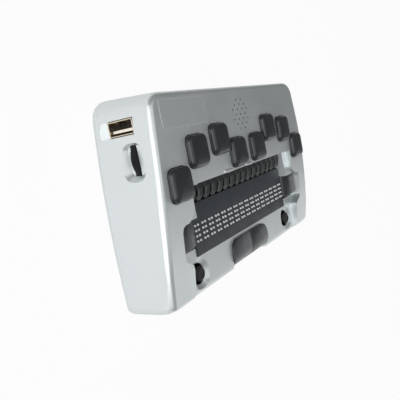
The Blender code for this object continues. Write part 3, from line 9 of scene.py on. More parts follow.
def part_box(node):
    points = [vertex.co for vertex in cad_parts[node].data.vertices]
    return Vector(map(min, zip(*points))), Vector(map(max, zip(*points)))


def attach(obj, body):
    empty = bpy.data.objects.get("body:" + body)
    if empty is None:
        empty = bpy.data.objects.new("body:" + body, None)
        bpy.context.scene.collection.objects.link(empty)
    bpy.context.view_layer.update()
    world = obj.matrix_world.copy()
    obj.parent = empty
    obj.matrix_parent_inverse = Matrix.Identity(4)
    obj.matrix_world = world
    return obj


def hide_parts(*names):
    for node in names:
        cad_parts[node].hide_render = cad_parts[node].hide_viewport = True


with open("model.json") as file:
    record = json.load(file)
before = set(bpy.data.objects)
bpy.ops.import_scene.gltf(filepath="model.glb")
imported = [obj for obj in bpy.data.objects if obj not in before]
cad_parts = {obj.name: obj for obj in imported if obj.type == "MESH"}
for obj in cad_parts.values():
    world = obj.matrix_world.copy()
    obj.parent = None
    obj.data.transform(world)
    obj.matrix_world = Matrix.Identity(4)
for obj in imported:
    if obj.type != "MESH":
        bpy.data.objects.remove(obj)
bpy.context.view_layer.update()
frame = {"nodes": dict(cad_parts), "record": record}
mm = 0.001
tiny = 0.01  # millimetres: places closer than this count as the same
along = 0.9  # a direction past this share of an axis points along it
sharp = radians(50)  # an edge that folds by more than this is sharp
weldMm = 1e-4  # points closer than this are merged
bodyOf = {node: body for body, nodes in frame["record"]["behaviour"]["bodies"].items()
          for node in nodes}


# colours and nodes
def linear(hexText):
    # the sRGB curve, from a screen colour to a linear one
    channels = [int(hexText[i:i + 2], 16) / 255 for i in (1, 3, 5)]
    return tuple(c / 12.92 if c <= 0.04045 else ((c + 0.055) / 1.055) ** 2.4
                 for c in channels) + (1.0,)


def addNode(tree, kind, settings=None, inputs=None):
    node = tree.nodes.new(kind)
    for key, value in (settings or {}).items():
        setattr(node, key, value)
    for key, value in (inputs or {}).items():
        if isinstance(value, bpy.types.NodeSocket):
            tree.links.new(value, node.inputs[key])
        else:
            node.inputs[key].default_value = value
    return node


def newMaterial(name, **surface):
    made = bpy.data.materials.new(name)
    made.use_nodes = True
    shader = made.node_tree.nodes["Principled BSDF"]
    for key, value in surface.items():
        shader.inputs[key.replace("_", " ")].default_value = value
    coords = addNode(made.node_tree, "ShaderNodeTexCoord").outputs["Object"]
    return made, made.node_tree, shader, coords


def grain(tree, coords, sizeMm, detail, stretch=(1, 1, 1)):
    # noise whose lumps are about sizeMm across
    spread = addNode(tree, "ShaderNodeMapping", inputs={"Vector": coords, "Scale": stretch})
    return addNode(tree, "ShaderNodeTexNoise",
                   inputs={"Vector": spread.outputs["Vector"], "Scale": 1 / (sizeMm * mm),
                           "Detail": detail}).outputs["Fac"]


noiseBand = (0.3, 0.7)  # nearly all of a noise pattern lies between these values
drawnAlongX = (0.08, 1, 1)  # stretches a grain into strokes along the width


def tint(tree, shader, factor, darkHex, paleHex, band=noiseBand):
    ramp = addNode(tree, "ShaderNodeMapRange",
                   inputs={"Value": factor, "From Min": band[0], "From Max": band[1]})
    # the Mix node's colour sockets are 6 and 7, and its colour result is 2
    mix = addNode(tree, "ShaderNodeMix", {"data_type": "RGBA"},
                  {0: ramp.outputs["Result"], 6: linear(darkHex), 7: linear(paleHex)})
    tree.links.new(mix.outputs[2], shader.inputs["Base Color"])


def varyRoughness(tree, shader, factor, low, high):
    spread = addNode(tree, "ShaderNodeMapRange",
                     inputs={"Value": factor, "From Min": noiseBand[0], "From Max": noiseBand[1],
                             "To Min": low, "To Max": high})
    tree.links.new(spread.outputs["Result"], shader.inputs["Roughness"])


def relief(tree, shader, factor, depthMm, strength):
    # a bump laid over whatever bump is there already
    bump = addNode(tree, "ShaderNodeBump",
                   inputs={"Height": factor, "Distance": depthMm * mm, "Strength": strength})
    previous = shader.inputs["Normal"].links
    if previous:
        tree.links.new(previous[0].from_socket, bump.inputs["Normal"])
    tree.links.new(bump.outputs["Normal"], shader.inputs["Normal"])


def speckled(name, look, **surface):
    # specks mottle the colour, rubbing the roughness, and a texture stands up as relief:
    # each is its grain in mm with its detail, and height is the relief's depth and strength
    made, tree, shader, coords = newMaterial(name, **surface)
    tint(tree, shader, grain(tree, coords, *look["specks"]), *look["hex"],
         look.get("band", noiseBand))
    if "rubbing" in look:
        varyRoughness(tree, shader, grain(tree, coords, *look["rubbing"]), *look["rough"])
    if "texture" in look:
        relief(tree, shader, grain(tree, coords, *look["texture"]), *look["height"])
    return made


# satin two-coat silver over ABS: tiny flakes, a faint orange peel, smoother where hands rub
silverPaint = {"hex": ("#d3d9da", "#dde2e3"), "metallic": 0.78, "flakes": (0.35, 2.0),
               "rubbing": (22.0, 4.0), "rough": (0.4, 0.48), "peel": (1.6, 1.0),
               "peelHeight": (0.012, 0.5), "flakeHeight": (0.006, 0.35)}


def silverPaintedAbs(look):
    made, tree, shader, coords = newMaterial("silver_painted_abs", Metallic=look["metallic"],
                                             IOR=1.5)
    flakes = grain(tree, coords, *look["flakes"])
    tint(tree, shader, flakes, *look["hex"])
    varyRoughness(tree, shader, grain(tree, coords, *look["rubbing"]), *look["rough"])
    relief(tree, shader, grain(tree, coords, *look["peel"]), *look["peelHeight"])
    relief(tree, shader, flakes, *look["flakeHeight"])
    return made


# green solder mask over woven glass: the weave shows faintly, 0.5 mm a thread
maskedLaminate = {"hex": ("#1c5a38", "#226641"), "threadMm": 0.5, "texture": (0.5, 2.0),
                  "height": (0.01, 0.4)}


def boardLaminate(look):
    made, tree, shader, coords = newMaterial("green_board_laminate", Roughness=0.4, IOR=1.5)
    weave = addNode(tree, "ShaderNodeTexChecker",
                    inputs={"Vector": coords, "Scale": 1 / (look["threadMm"] * mm)})
    tint(tree, shader, weave.outputs["Fac"], *look["hex"], (0.0, 1.0))
    relief(tree, shader, grain(tree, coords, *look["texture"]), *look["height"])
    return made


# moulded ABS keys: fine spark texture, worn smoother in patches by fingers
charcoalAbs = {"hex": ("#23262a", "#2d3136"), "specks": (0.3, 2.0), "rubbing": (6.0, 3.0),
               "rough": (0.24, 0.34), "texture": (0.3, 2.0), "height": (0.01, 0.4)}

# the routing keys get a darker, duller ABS than the keys round them; the darker colour is partly
# painted shade, standing in for the deep shade of the slots between them
routingAbsWithShade = {"hex": ("#141618", "#1c1f22"), "specks": (0.3, 2.0), "rubbing": (5.0, 3.0),
           "rough": (0.4, 0.52), "texture": (0.3, 2.0), "height": (0.01, 0.4)}

# the reading plate: slate grey ABS with a fine matt texture that a finger slides on
slateAbs = {"hex": ("#2b3035", "#343a3f"), "specks": (0.25, 2.0), "rubbing": (9.0, 3.0),
            "rough": (0.5, 0.62), "texture": (0.25, 2.0), "height": (0.01, 0.35)}

# the wheel's ABS is nearly black and much duller than the keys: its teeth hardly
# catch the light
wheelAbs = {"hex": ("#0a0b0c", "#121314"), "specks": (0.3, 2.0), "rubbing": (4.0, 3.0),
            "rough": (0.6, 0.72), "texture": (0.3, 2.0), "height": (0.01, 0.4)}

# the paint doesn't reach into the grille's holes: bare dark ABS with a dusting of overspray; its
# dark colour is also painted shade for the shadow deep in the holes
unpaintedAbsHoleShade = {"hex": ("#1e2022", "#2c2e30"), "specks": (0.4, 2.0)}

# polished acetal pins: white and waxy, with a soft highlight on each dome
whiteAcetal = {"hex": ("#d9dde0", "#e6e9eb"), "specks": (1.2, 2.0), "texture": (0.2, 2.0),
               "height": (0.004, 0.4)}

# matt moulded rubber with a dusty bloom
blackRubber = {"hex": ("#1d1d1e", "#2a2a2b"), "specks": (2.5, 4.0), "rubbing": (1.5, 3.0),
               "rough": (0.62, 0.78), "texture": (0.3, 2.0), "height": (0.02, 0.5)}

# glass-filled nylon mouldings of the inner parts: dull black with a faint mottle
blackNylon = {"hex": ("#1f2022", "#292a2d"), "specks": (3.0, 3.0), "rubbing": (1.0, 2.0),
              "rough": (0.45, 0.6), "texture": (0.4, 2.0), "height": (0.01, 0.4)}

# cream nylon of the host socket's tongue: waxy and nearly even
creamNylon = {"hex": ("#eae4d6", "#f3eee3"), "specks": (1.5, 3.0), "rubbing": (0.8, 2.0),
              "rough": (0.4, 0.55)}

# nickel-plated pressed steel, drawn along the socket, so that it gleams in strokes
nickelSteel = {"hex": ("#cabfa9", "#d8cdb8"), "specks": (0.5, 3.0, drawnAlongX),
               "rubbing": (0.5, 3.0, drawnAlongX), "rough": (0.2, 0.34),
               "texture": (0.5, 3.0, drawnAlongX), "height": (0.004, 0.4)}

# gold-plated brass contacts: warm, bright and a little clouded
goldBrass = {"hex": ("#c79a4a", "#dcb567"), "specks": (0.6, 3.0), "rubbing": (0.4, 2.0),
             "rough": (0.22, 0.34)}

# zinc-plated steel screws: cool grey, blotched a little by the bath
zincSteel = {"hex": ("#9a9ca0", "#b6b8bc"), "specks": (0.7, 3.0), "rubbing": (0.5, 2.0),
             "rough": (0.25, 0.4)}

# blue shrink film pulled over the battery: glossy, with low wrinkles
shrinkWrap = {"hex": ("#2c4a78", "#365a8c"), "specks": (8.0, 3.0), "rubbing": (3.0, 2.0),
              "rough": (0.25, 0.4), "texture": (5.0, 2.0), "height": (0.08, 0.4)}

# blank satin foil label, thinly lacquered, brushed along its length
satinFoil = {"hex": ("#cfd8da", "#d5ddde"), "specks": (0.35, 1.0, drawnAlongX),
             "band": (0.2, 0.8), "rubbing": (0.35, 1.0, drawnAlongX), "rough": (0.42, 0.46)}

# the label's border, where the clear lacquer pools and looks paler
lacqueredFoil = {"hex": ("#d3d9da", "#dbe0e1"), "specks": (1.5, 2.0), "rubbing": (2.0, 2.0),
                 "rough": (0.24, 0.34)}

paint = silverPaintedAbs(silverPaint)
laminate = boardLaminate(maskedLaminate)
keyPlastic = speckled("charcoal_abs", charcoalAbs, IOR=1.53)
routingPlasticWithShade = speckled("routing_abs_painted_shade", routingAbsWithShade, IOR=1.5)
platePlastic = speckled("slate_abs", slateAbs, IOR=1.53)
wheelPlastic = speckled("black_abs_wheel", wheelAbs, IOR=1.53, Specular_IOR_Level=0.3)
holeShadeAbs = speckled("unpainted_abs_painted_hole_shade", unpaintedAbsHoleShade, Roughness=0.6, IOR=1.53)
pinPlastic = speckled("white_acetal", whiteAcetal, Roughness=0.28, IOR=1.48)
rubber = speckled("black_rubber", blackRubber, IOR=1.52)
moulding = speckled("black_moulding", blackNylon, IOR=1.52)
nylon = speckled("cream_nylon", creamNylon, IOR=1.53)
steel = speckled("nickel_plated_steel", nickelSteel, Metallic=1.0)
gold = speckled("gold_plated_brass", goldBrass, Metallic=1.0)
zinc = speckled("zinc_plated_screw", zincSteel, Metallic=1.0)
wrap = speckled("battery_shrink_wrap", shrinkWrap, IOR=1.5)
foil = speckled("satin_foil_label", satinFoil, Metallic=0.72, IOR=1.5)
foilBorder = speckled("lacquered_foil_border", lacqueredFoil, Metallic=0.5, IOR=1.5)
print("materials made")


# how a finished mesh becomes a piece
def finishPiece(name, bm, look, near, stands=(), smoothAngle=40.0, unit=mm, weld=weldMm):
    # close the mesh, take it from its unit to metres and let it ride with the CAD node near
    bmesh.ops.remove_doubles(bm, verts=bm.verts, dist=weld)
    bmesh.ops.recalc_face_normals(bm, faces=bm.faces)
    bmesh.ops.scale(bm, verts=bm.verts, vec=(unit, unit, unit))
    mesh = bpy.data.meshes.new(name)
    bm.to_mesh(mesh)
    bm.free()
    mesh.shade_smooth()
    mesh.set_sharp_from_angle(angle=radians(smoothAngle))
    mesh.materials.append(look)
    piece = bpy.data.objects.new(name, mesh)
    bpy.context.scene.collection.objects.link(piece)
    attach(piece, bodyOf[near])
    if stands:
        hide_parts(*stands)
    return piece


softEdge = {"segments": 2, "angle": 42.0, "faceWeight": 80}
cadSkin = {"weld": 2e-6, "flatAngle": 0.4}  # metres and degrees


def addRounding(piece, widthMm, angle=softEdge["angle"]):
    bevel = piece.modifiers.new("edge_rounding", "BEVEL")
    bevel.width = widthMm * mm
    bevel.segments = softEdge["segments"]
    bevel.limit_method = "ANGLE"
    bevel.angle_limit = radians(angle)
    normals = piece.modifiers.new("weighted_normals", "WEIGHTED_NORMAL")
    normals.keep_sharp = True
    normals.weight = softEdge["faceWeight"]


def softCopy(node, look, widthMm=0.0, angle=softEdge["angle"]):
    # a CAD node's own mesh merged into one skin, in metres, with its flat triangles joined again
    bm = bmesh.new()
    bm.from_mesh(frame["nodes"][node].data)
    bmesh.ops.remove_doubles(bm, verts=bm.verts, dist=cadSkin["weld"])
    bmesh.ops.dissolve_limit(bm, angle_limit=radians(cadSkin["flatAngle"]), verts=bm.verts,
                             edges=bm.edges, delimit={"NORMAL"})
    piece = finishPiece(node + "_skin", bm, look, node, (node,), angle, 1.0, cadSkin["weld"])
    if widthMm:
        addRounding(piece, widthMm, angle)
    return piece


# the two shells, with edges a little rounded
shells = {"edgeMm": 0.08, "gapMm": 0.3, "seamMm": 0.05, "smoothAngle": 34.0, "steep": 0.5}
topSkin = softCopy("top_housing", paint, shells["edgeMm"], shells["smoothAngle"])
bottomSkin = softCopy("bottom_housing", paint, shells["edgeMm"], shells["smoothAngle"])
# the lower shell's rim is lifted until the seam is a hairline, as the shells fit in real life
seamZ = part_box("top_housing")[0].z
for vert in bottomSkin.data.vertices:
    if abs(seamZ - shells["gapMm"] * mm - vert.co.z) < shells["gapMm"] * mm / 2:
        vert.co.z = seamZ - shells["seamMm"] * mm
# the upright walls over the speaker are those of the grille's holes; they get the dark unpainted
# ABS, which also paints in the shade inside the holes
topSkin.data.materials.append(holeShadeAbs)
grilleLow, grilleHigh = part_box("speaker")
for face in topSkin.data.polygons:
    inGrille = all(grilleLow[i] < face.center[i] < grilleHigh[i] for i in (0, 1))
    if inGrille and face.center.z > grilleHigh.z and abs(face.normal.z) < shells["steep"]:
        face.material_index = 1
print("shells made")


# shapes that several pieces share, in millimetres; a rounding is a radius and its segments
def boxOf(node):
    return tuple(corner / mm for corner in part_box(node))


def centreOf(low, high):
    return (low.x + high.x) / 2, (low.y + high.y) / 2, (low.z + high.z) / 2


def blockBetween(bm, low, high):
    # an upright block between two corner points
    made = bmesh.ops.create_cube(bm, size=1.0)["verts"]
    bmesh.ops.scale(bm, verts=made, vec=Vector(high) - Vector(low))
    bmesh.ops.translate(bm, verts=made, vec=(Vector(low) + Vector(high)) / 2)


def cutAcross(bm, place, way):
    # score every face along the plane through place, square to way
    bmesh.ops.bisect_plane(bm, geom=bm.verts[:] + bm.edges[:] + bm.faces[:],
                           plane_co=place, plane_no=way)


def roundEdges(bm, radius, segments, chosen):
    # round the edges that the test accepts: it is given an edge's middle, direction and fold
    bm.normal_update()
    edges = []
    for edge in bm.edges:
        first, second = (vert.co for vert in edge.verts)
        if chosen((first + second) / 2, (second - first).normalized(), edge.calc_face_angle(0)):
            edges.append(edge)
    bmesh.ops.bevel(bm, geom=edges, offset=radius, segments=segments, affect="EDGES",
                    profile=0.5, material=-1, clamp_overlap=True)


def raised(bm, face):
    # extrude a face, and give back the new one
    out = bmesh.ops.extrude_face_region(bm, geom=[face])["geom"]
    bmesh.ops.delete(bm, geom=[face], context="FACES_ONLY")
    return [item for item in out if isinstance(item, bmesh.types.BMFace)][0]


def ringUp(bm, face, shrink, rise):
    # one more ring: the face is extruded, drawn in about its centre and moved along Z
    face = raised(bm, face)
    bmesh.ops.scale(bm, verts=face.verts, vec=(shrink, shrink, 1),
                    space=Matrix.Translation(-face.calc_center_median()))
    bmesh.ops.translate(bm, verts=face.verts, vec=(0, 0, rise))
    return face


def topOf(bm):
    # the largest level face at the top of a block
    bm.normal_update()
    highest = max(vert.co.z for vert in bm.verts)
    return max((f for f in bm.faces if f.normal.z > along
                and f.calc_center_median().z > highest - tiny), key=lambda f: f.calc_area())


def faceUp(bm, face):
    if face.normal.z < 0:
        bmesh.ops.reverse_faces(bm, faces=[face])


plunger = {"sides": 20, "tipShare": 0.8}


def addStem(bm, place, lowZ, highZ, radius):
    # the plunger under a key, a little thinner where it enters its switch
    stem = bmesh.ops.create_cone(bm, cap_ends=True, segments=plunger["sides"],
                                 radius1=plunger["tipShare"] * radius, radius2=radius,
                                 depth=highZ - lowZ)["verts"]
    bmesh.ops.translate(bm, verts=stem, vec=(place[0], place[1], (lowZ + highZ) / 2))


def turn(bm, profile, centre, steps):
    # spin a chain of (radius, height) points once round a vertical axis
    chain = [bm.verts.new((centre[0] + radius, centre[1], z)) for radius, z in profile]
    links = [bm.edges.new(pair) for pair in zip(chain, chain[1:])]
    bmesh.ops.spin(bm, geom=chain + links, cent=(centre[0], centre[1], 0), axis=(0, 0, 1),
                   angle=2 * pi, steps=steps, use_merge=True)
    bmesh.ops.remove_doubles(bm, verts=bm.verts, dist=weldMm)


def notch(bm, centre, steps, radii, heights, depth):
    # draw every second column of a turned rim inwards, which leaves ribs
    for vert in bm.verts:
        spoke = Vector((vert.co.x - centre[0], vert.co.y - centre[1]))
        inBand = radii[0] < spoke.length < radii[1] and heights[0] < vert.co.z < heights[1]
        if inBand and round(atan2(spoke.y, spoke.x) / (2 * pi / steps)) % 2:
            spoke *= 1 - depth / spoke.length
            vert.co.x, vert.co.y = centre[0] + spoke.x, centre[1] + spoke.y


# the reading plate with its pin holes
plate = {"dotPitch": 2.45, "cellPitch": 6.42, "cells": 16, "rows": 4, "pinRise": 0.7,
         "holeRadius": 0.74, "holeDepth": 1.8, "holeCuts": 2, "edge": (0.25, 2)}
plateLow, plateHigh = boxOf("display_plate")
plateTop = plateHigh.z - plate["pinRise"]
firstRow = centreOf(*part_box("pin_dot_1"))[1] / mm


def dotPlaces():
    for cell in range(plate["cells"]):
        for column in (0, 1):
            for row in range(plate["rows"]):
                x = (cell - (plate["cells"] - 1) / 2) * plate["cellPitch"]
                yield (cell, column, row, x + (column - 0.5) * plate["dotPitch"],
                       firstRow - row * plate["dotPitch"])


def displayPlate():
    bm = bmesh.new()
    blockBetween(bm, plateLow, (plateHigh.x, plateHigh.y, plateTop))
    # score the top into a square round each dot, with one line between neighbours
    places = [(x, y) for _, _, _, x, y in dotPlaces()]
    half = plate["dotPitch"] / 2
    for x in sorted({round(place[0] + step, 4) for place in places for step in (-half, half)}):
        cutAcross(bm, (x, 0, 0), (1, 0, 0))
    for y in sorted({round(place[1] + step, 4) for place in places for step in (-half, half)}):
        cutAcross(bm, (0, y, 0), (0, 1, 0))
    bm.normal_update()
    squares = []
    for face in bm.faces:
        centre = face.calc_center_median()
        if face.normal.z > along and any(abs(centre.x - x) < tiny and abs(centre.y - y) < tiny
                                         for x, y in places):
            squares.append(face)
    # a smaller square in each, its sides divided, bent into a circle and sunk
    bmesh.ops.inset_individual(bm, faces=squares, thickness=half - plate["holeRadius"],
                               use_even_offset=True)
    sides = dict.fromkeys(edge for face in squares for edge in face.edges)
    bmesh.ops.subdivide_edges(bm, edges=list(sides), cuts=plate["holeCuts"])
    corners = 4 * (plate["holeCuts"] + 1)
    step = 2 * pi / corners
    for face in [face for face in bm.faces if len(face.verts) == corners]:
        centre = face.calc_center_median()
        for vert in face.verts:
            spoke = vert.co - centre
            turned = pi / 4 + step * round((atan2(spoke.y, spoke.x) - pi / 4) / step)
            vert.co.x = centre.x + plate["holeRadius"] * cos(turned)
            vert.co.y = centre.y + plate["holeRadius"] * sin(turned)
        floor = raised(bm, face)
        bmesh.ops.translate(bm, verts=floor.verts, vec=(0, 0, -plate["holeDepth"]))
    roundEdges(bm, *plate["edge"], lambda middle, way, fold: fold > sharp
               and abs(middle.z - plateTop) < tiny
               and min(abs(middle.x - plateLow.x), abs(middle.x - plateHigh.x),
                       abs(middle.y - plateLow.y), abs(middle.y - plateHigh.y)) < tiny)
    finishPiece("display_plate_skin", bm, platePlastic, "display_plate", ("display_plate",), 35)


# the pins: rings are shares of the radius and of the dome's height below the tip
pin = {"radius": 0.57, "dome": 0.45, "sides": 14, "shaft": 0.9,
       "rings": ((1.0, 1.0), (0.92, 0.62), (0.7, 0.27), (0.36, 0.06))}
dotNumbers = ((1, 2, 3, 7), (4, 5, 6, 8))


def pinShape(bm, x, y):
    tip = plateTop + plate["pinRise"]
    foot = bmesh.ops.create_circle(bm, cap_ends=True, segments=pin["sides"],
                                   radius=pin["radius"])["verts"]
    face = foot[0].link_faces[0]
    bmesh.ops.translate(bm, verts=foot, vec=(x, y, plateTop - pin["shaft"]))
    faceUp(bm, face)
    centre = Vector((x, y, 0))
    for radiusShare, domeShare in pin["rings"]:
        face = raised(bm, face)
        for vert in face.verts:
            spoke = vert.co - centre
            spoke.z = 0
            vert.co = centre + spoke.normalized() * pin["radius"] * radiusShare
            vert.co.z = tip - domeShare * pin["dome"]
    for vert in bmesh.ops.poke(bm, faces=[face])["verts"]:
        vert.co.z = tip


displayPlate()
fused = bmesh.new()
for cell, column, row, x, y in dotPlaces():
    if cell:
        pinShape(fused, x, y)
    else:
        pinName = "pin_dot_" + str(dotNumbers[column][row])
        loose = bmesh.new()
        pinShape(loose, x, y)
        finishPiece(pinName + "_skin", loose, pinPlastic, pinName, (pinName,), 60)
dots = finishPiece("braille_dots", fused, pinPlastic, "display_plate", smoothAngle=60)
print("plate and pins made")


# braille keys: upright walls, a broad rounded rim and a faint crown, built up in rings that
# are given as shares of the ring before and of the crown's height
brailleKey = {"width": 15.0, "depth": 14.6, "corner": (3.4, 8), "rim": (1.7, 6), "crown": 0.35,
              "rings": ((0.8, 0.46), (0.7, 0.34), (0.5, 0.16), (0.3, 0.04)),
              "skirt": 5.2, "stem": 1.5}
for node in sorted(frame["nodes"]):
    if node.startswith("key_dot_"):
        low, high = boxOf(node)
        width, depth = brailleKey["width"], brailleKey["depth"]
        x = high.x - width / 2 if high.x < 0 else low.x + width / 2
        y = low.y + depth / 2
        skirtZ = high.z - brailleKey["skirt"]
        bm = bmesh.new()
        blockBetween(bm, (x - width / 2, y - depth / 2, skirtZ),
                     (x + width / 2, y + depth / 2, high.z - brailleKey["crown"]))
        roundEdges(bm, *brailleKey["corner"], lambda middle, way, fold: abs(way.z) > along)
        rim, segments = brailleKey["rim"]
        bmesh.ops.bevel(bm, geom=list(topOf(bm).edges), offset=rim, segments=segments,
                        affect="EDGES", profile=0.5, material=-1)
        top = topOf(bm)
        for shrink, rise in brailleKey["rings"]:
            top = ringUp(bm, top, shrink, rise * brailleKey["crown"])
        addStem(bm, (x, y), low.z, skirtZ, brailleKey["stem"])
        finishPiece(node + "_skin", bm, keyPlastic, node, (node,), 60)
print("braille keys made")


# space keys: one bar in two halves, its front rolled down, its back corners round
spaceKey = {"height": 7.8, "backCorner": (6.0, 9), "roll": (6.8, 12), "rim": (0.9, 4),
            "split": (0.45, 3), "skirt": 0.6, "stem": 1.5}
for node in ("space_key_left", "space_key_right"):
    low, high = boxOf(node)
    inner, outer = sorted((low.x, high.x), key=abs)
    bottom = high.z - spaceKey["height"]
    skirtZ = bottom + spaceKey["skirt"]
    bm = bmesh.new()
    blockBetween(bm, (low.x, low.y, bottom), high)
    roundEdges(bm, *spaceKey["backCorner"], lambda middle, way, fold: abs(way.z) > along
               and abs(middle.x - outer) < tiny and middle.y > high.y - tiny)
    roundEdges(bm, *spaceKey["roll"], lambda middle, way, fold: abs(way.x) > along
               and middle.z > high.z - tiny and middle.y < low.y + tiny)
    roundEdges(bm, *spaceKey["rim"], lambda middle, way, fold: fold > sharp
               and abs(middle.x - inner) > tiny and middle.z > skirtZ)
    roundEdges(bm, *spaceKey["split"], lambda middle, way, fold: fold > sharp
               and abs(middle.x - inner) < tiny and middle.z > skirtZ)
    addStem(bm, centreOf(low, high), low.z, bottom, spaceKey["stem"])
    finishPiece(node + "_skin", bm, keyPlastic, node, (node,), 45)
print("space keys made")


# function buttons: level outside, falling towards the plate over a rounded ridge
functionButton = {"width": 15.4, "depth": 13.6, "height": 7.0, "ridge": 5.2, "fall": 1.7,
                  "ridgeRound": (3.4, 7), "corner": (3.0, 8), "innerCorner": (0.9, 4),
                  "rim": (1.1, 4), "skirt": 1.0, "stem": 1.5}
for node in ("function_button_left", "function_button_right"):
    low, high = boxOf(node)
    side = 1 if high.x > 0 else -1
    inner = side * min(abs(low.x), abs(high.x))
    outer = inner + side * functionButton["width"]
    ridgeX = inner + side * functionButton["ridge"]
    back, front = high.y, high.y - functionButton["depth"]
    bottom = high.z - functionButton["height"]
    bm = bmesh.new()
    blockBetween(bm, (min(inner, outer), front, bottom), (max(inner, outer), back, high.z))
    cutAcross(bm, (ridgeX, 0, 0), (1, 0, 0))
    for vert in bm.verts:
        if abs(vert.co.x - inner) < tiny and vert.co.z > high.z - tiny:
            vert.co.z -= functionButton["fall"]
    roundEdges(bm, *functionButton["ridgeRound"], lambda middle, way, fold: abs(way.y) > along
               and abs(middle.x - ridgeX) < tiny and middle.z > high.z - tiny)
    roundEdges(bm, *functionButton["corner"], lambda middle, way, fold: abs(way.z) > along
               and abs(middle.x - outer) < tiny)
    roundEdges(bm, *functionButton["innerCorner"], lambda middle, way, fold: abs(way.z) > along
               and abs(middle.x - inner) < tiny)
    roundEdges(bm, *functionButton["rim"], lambda middle, way, fold: fold > sharp
               and middle.z > bottom + functionButton["skirt"])
    addStem(bm, ((inner + outer) / 2, (front + back) / 2), low.z, bottom, functionButton["stem"])
    finishPiece(node + "_skin", bm, keyPlastic, node, (node,), 45)
print("function buttons made")


# routing keys: a tile for each cell, hollowed, with a crescent finger slot down its left side;
# shares run from the tile's front edge, 0, to its back edge, 1
routingKey = {"columns": 6, "rows": 16, "frontRise": 0.15, "backRise": 1.75, "shoulderShare": 0.64,
              "climbPower": 0.8, "hollow": 0.48, "hollowRate": 3, "slot": 1.7,
              "slotShares": (0.1, 0.72), "slotPower": 0.8, "tipRound": 1.5, "tipPower": 3,
              "tipShare": 0.25, "thick": 2.6, "edge": (0.22, 2), "edgeFold": 55,
              "edgeBelow": 0.5}


def routingTile(low, high):
    spec = routingKey
    width, depth = high.x - low.x, high.y - low.y
    slotFrom, slotTo = spec["slotShares"]
    bm = bmesh.new()
    made = bmesh.ops.create_grid(bm, x_segments=spec["columns"], y_segments=spec["rows"],
                                 size=0.5)["verts"]
    for vert in made:
        across, share = vert.co.x + 0.5, vert.co.y + 0.5
        rise = spec["frontRise"] + (spec["backRise"] - spec["frontRise"]) \
            * min(1.0, (share / spec["shoulderShare"]) ** spec["climbPower"])
        rise -= spec["hollow"] * sin(pi * across) * min(1.0, spec["hollowRate"] * share)
        slot = 0.0
        if slotFrom < share < slotTo:
            swing = (share - slotFrom) / (slotTo - slotFrom)
            slot = spec["slot"] * sin(pi * swing) ** spec["slotPower"]
        tip = spec["tipRound"] * abs(2 * across - 1) ** spec["tipPower"] \
            * max(0.0, 1 - share / spec["tipShare"])
        vert.co = Vector((low.x + slot + across * (width - slot), low.y + share * depth + tip,
                          plateTop + rise))
    faces = bm.faces[:]
    bmesh.ops.recalc_face_normals(bm, faces=faces)
    if faces[0].normal.z < 0:
        bmesh.ops.reverse_faces(bm, faces=faces)
    out = bmesh.ops.extrude_face_region(bm, geom=faces, use_keep_orig=True)["geom"]
    for item in out:
        if isinstance(item, bmesh.types.BMVert):
            item.co.z = plateTop - spec["thick"]
    bmesh.ops.recalc_face_normals(bm, faces=bm.faces)
    roundEdges(bm, *spec["edge"], lambda middle, way, fold: fold > radians(spec["edgeFold"])
               and middle.z > plateTop - spec["edgeBelow"])
    return bm


for node in sorted(frame["nodes"]):
    if node.startswith("routing_key_"):
        # the routing plastic's darker colour is partly painted shade for the slots between the
        # tiles
        finishPiece(node + "_skin", routingTile(*boxOf(node)), routingPlasticWithShade, node, (node,), 38)
print("routing keys made")


# joystick caps: a ribbed rubber cap with a hollow in its top, on a stem with a ball;
# the cap's outline is radius and depth below the top, the ball's radius and height
stickCap = {"cap": ((0, 0.5), (0.9, 0.46), (1.6, 0.28), (2.05, 0.05), (2.35, 0), (2.6, 0.12),
                    (2.72, 0.4), (2.8, 0.62), (3.3, 0.7), (3.58, 0.86), (3.7, 1.1), (3.7, 1.6),
                    (3.55, 1.85), (3.2, 1.9), (1.3, 1.9)),
            "stem": 1.3, "ballRadius": 2.0,
            "ball": ((1.75, 0.95), (2.0, 0), (1.75, -0.95), (1.0, -1.73), (0, -2.0)),
            "ribs": 18, "ribDepth": 0.32, "ribRadii": (3.0, 3.8), "ribFrom": 0.65, "ribTo": 1.88}
for node in ("joystick_cap_left", "joystick_cap_right"):
    low, high = boxOf(node)
    centre = centreOf(low, high)
    pivot = low.z + stickCap["ballRadius"]
    neck = sqrt(stickCap["ballRadius"] ** 2 - stickCap["stem"] ** 2)
    profile = [(radius, high.z - depth) for radius, depth in stickCap["cap"]] \
        + [(stickCap["stem"], pivot + neck)] \
        + [(radius, pivot + rise) for radius, rise in stickCap["ball"]]
    bm = bmesh.new()
    steps = 2 * stickCap["ribs"]
    turn(bm, profile, centre, steps)
    notch(bm, centre, steps, stickCap["ribRadii"],
          (high.z - stickCap["ribTo"], high.z - stickCap["ribFrom"]), stickCap["ribDepth"])
    finishPiece(node + "_skin", bm, rubber, node, (node,), 50)
print("joystick caps made")


# volume wheel: a disc with a finely notched, slightly crowned rim; its shoulder goes from the
# flat face to the rim, as far in from the rim and from the face
wheel = {"hub": 1.2, "runningGap": 0.02, "shoulder": ((1.6, 0), (1.2, 0.15), (0.35, 0.3)),
         "crown": 0.08, "teeth": 56, "toothDepth": 0.35, "toothBand": 0.5}
low, high = boxOf("volume_wheel")
centre = centreOf(low, high)
radius, half = (high.x - low.x) / 2 - wheel["runningGap"], (high.z - low.z) / 2
halfOutline = [(wheel["hub"], half)] \
    + [(radius - inset, half - drop) for inset, drop in wheel["shoulder"]] \
    + [(radius - wheel["crown"], half / 2)]
outline = [(reach, centre[2] - rise) for reach, rise in halfOutline] + [(radius, centre[2])] \
    + [(reach, centre[2] + rise) for reach, rise in reversed(halfOutline)]
bm = bmesh.new()
steps = 2 * wheel["teeth"]
turn(bm, outline + outline[:1], centre, steps)
notch(bm, centre, steps, (radius - wheel["toothBand"], high.x - centre[0] + tiny),
      (low.z, high.z), wheel["toothDepth"])
finishPiece("volume_wheel_skin", bm, wheelPlastic, "volume_wheel", ("volume_wheel",), 35)
print("volume wheel made")


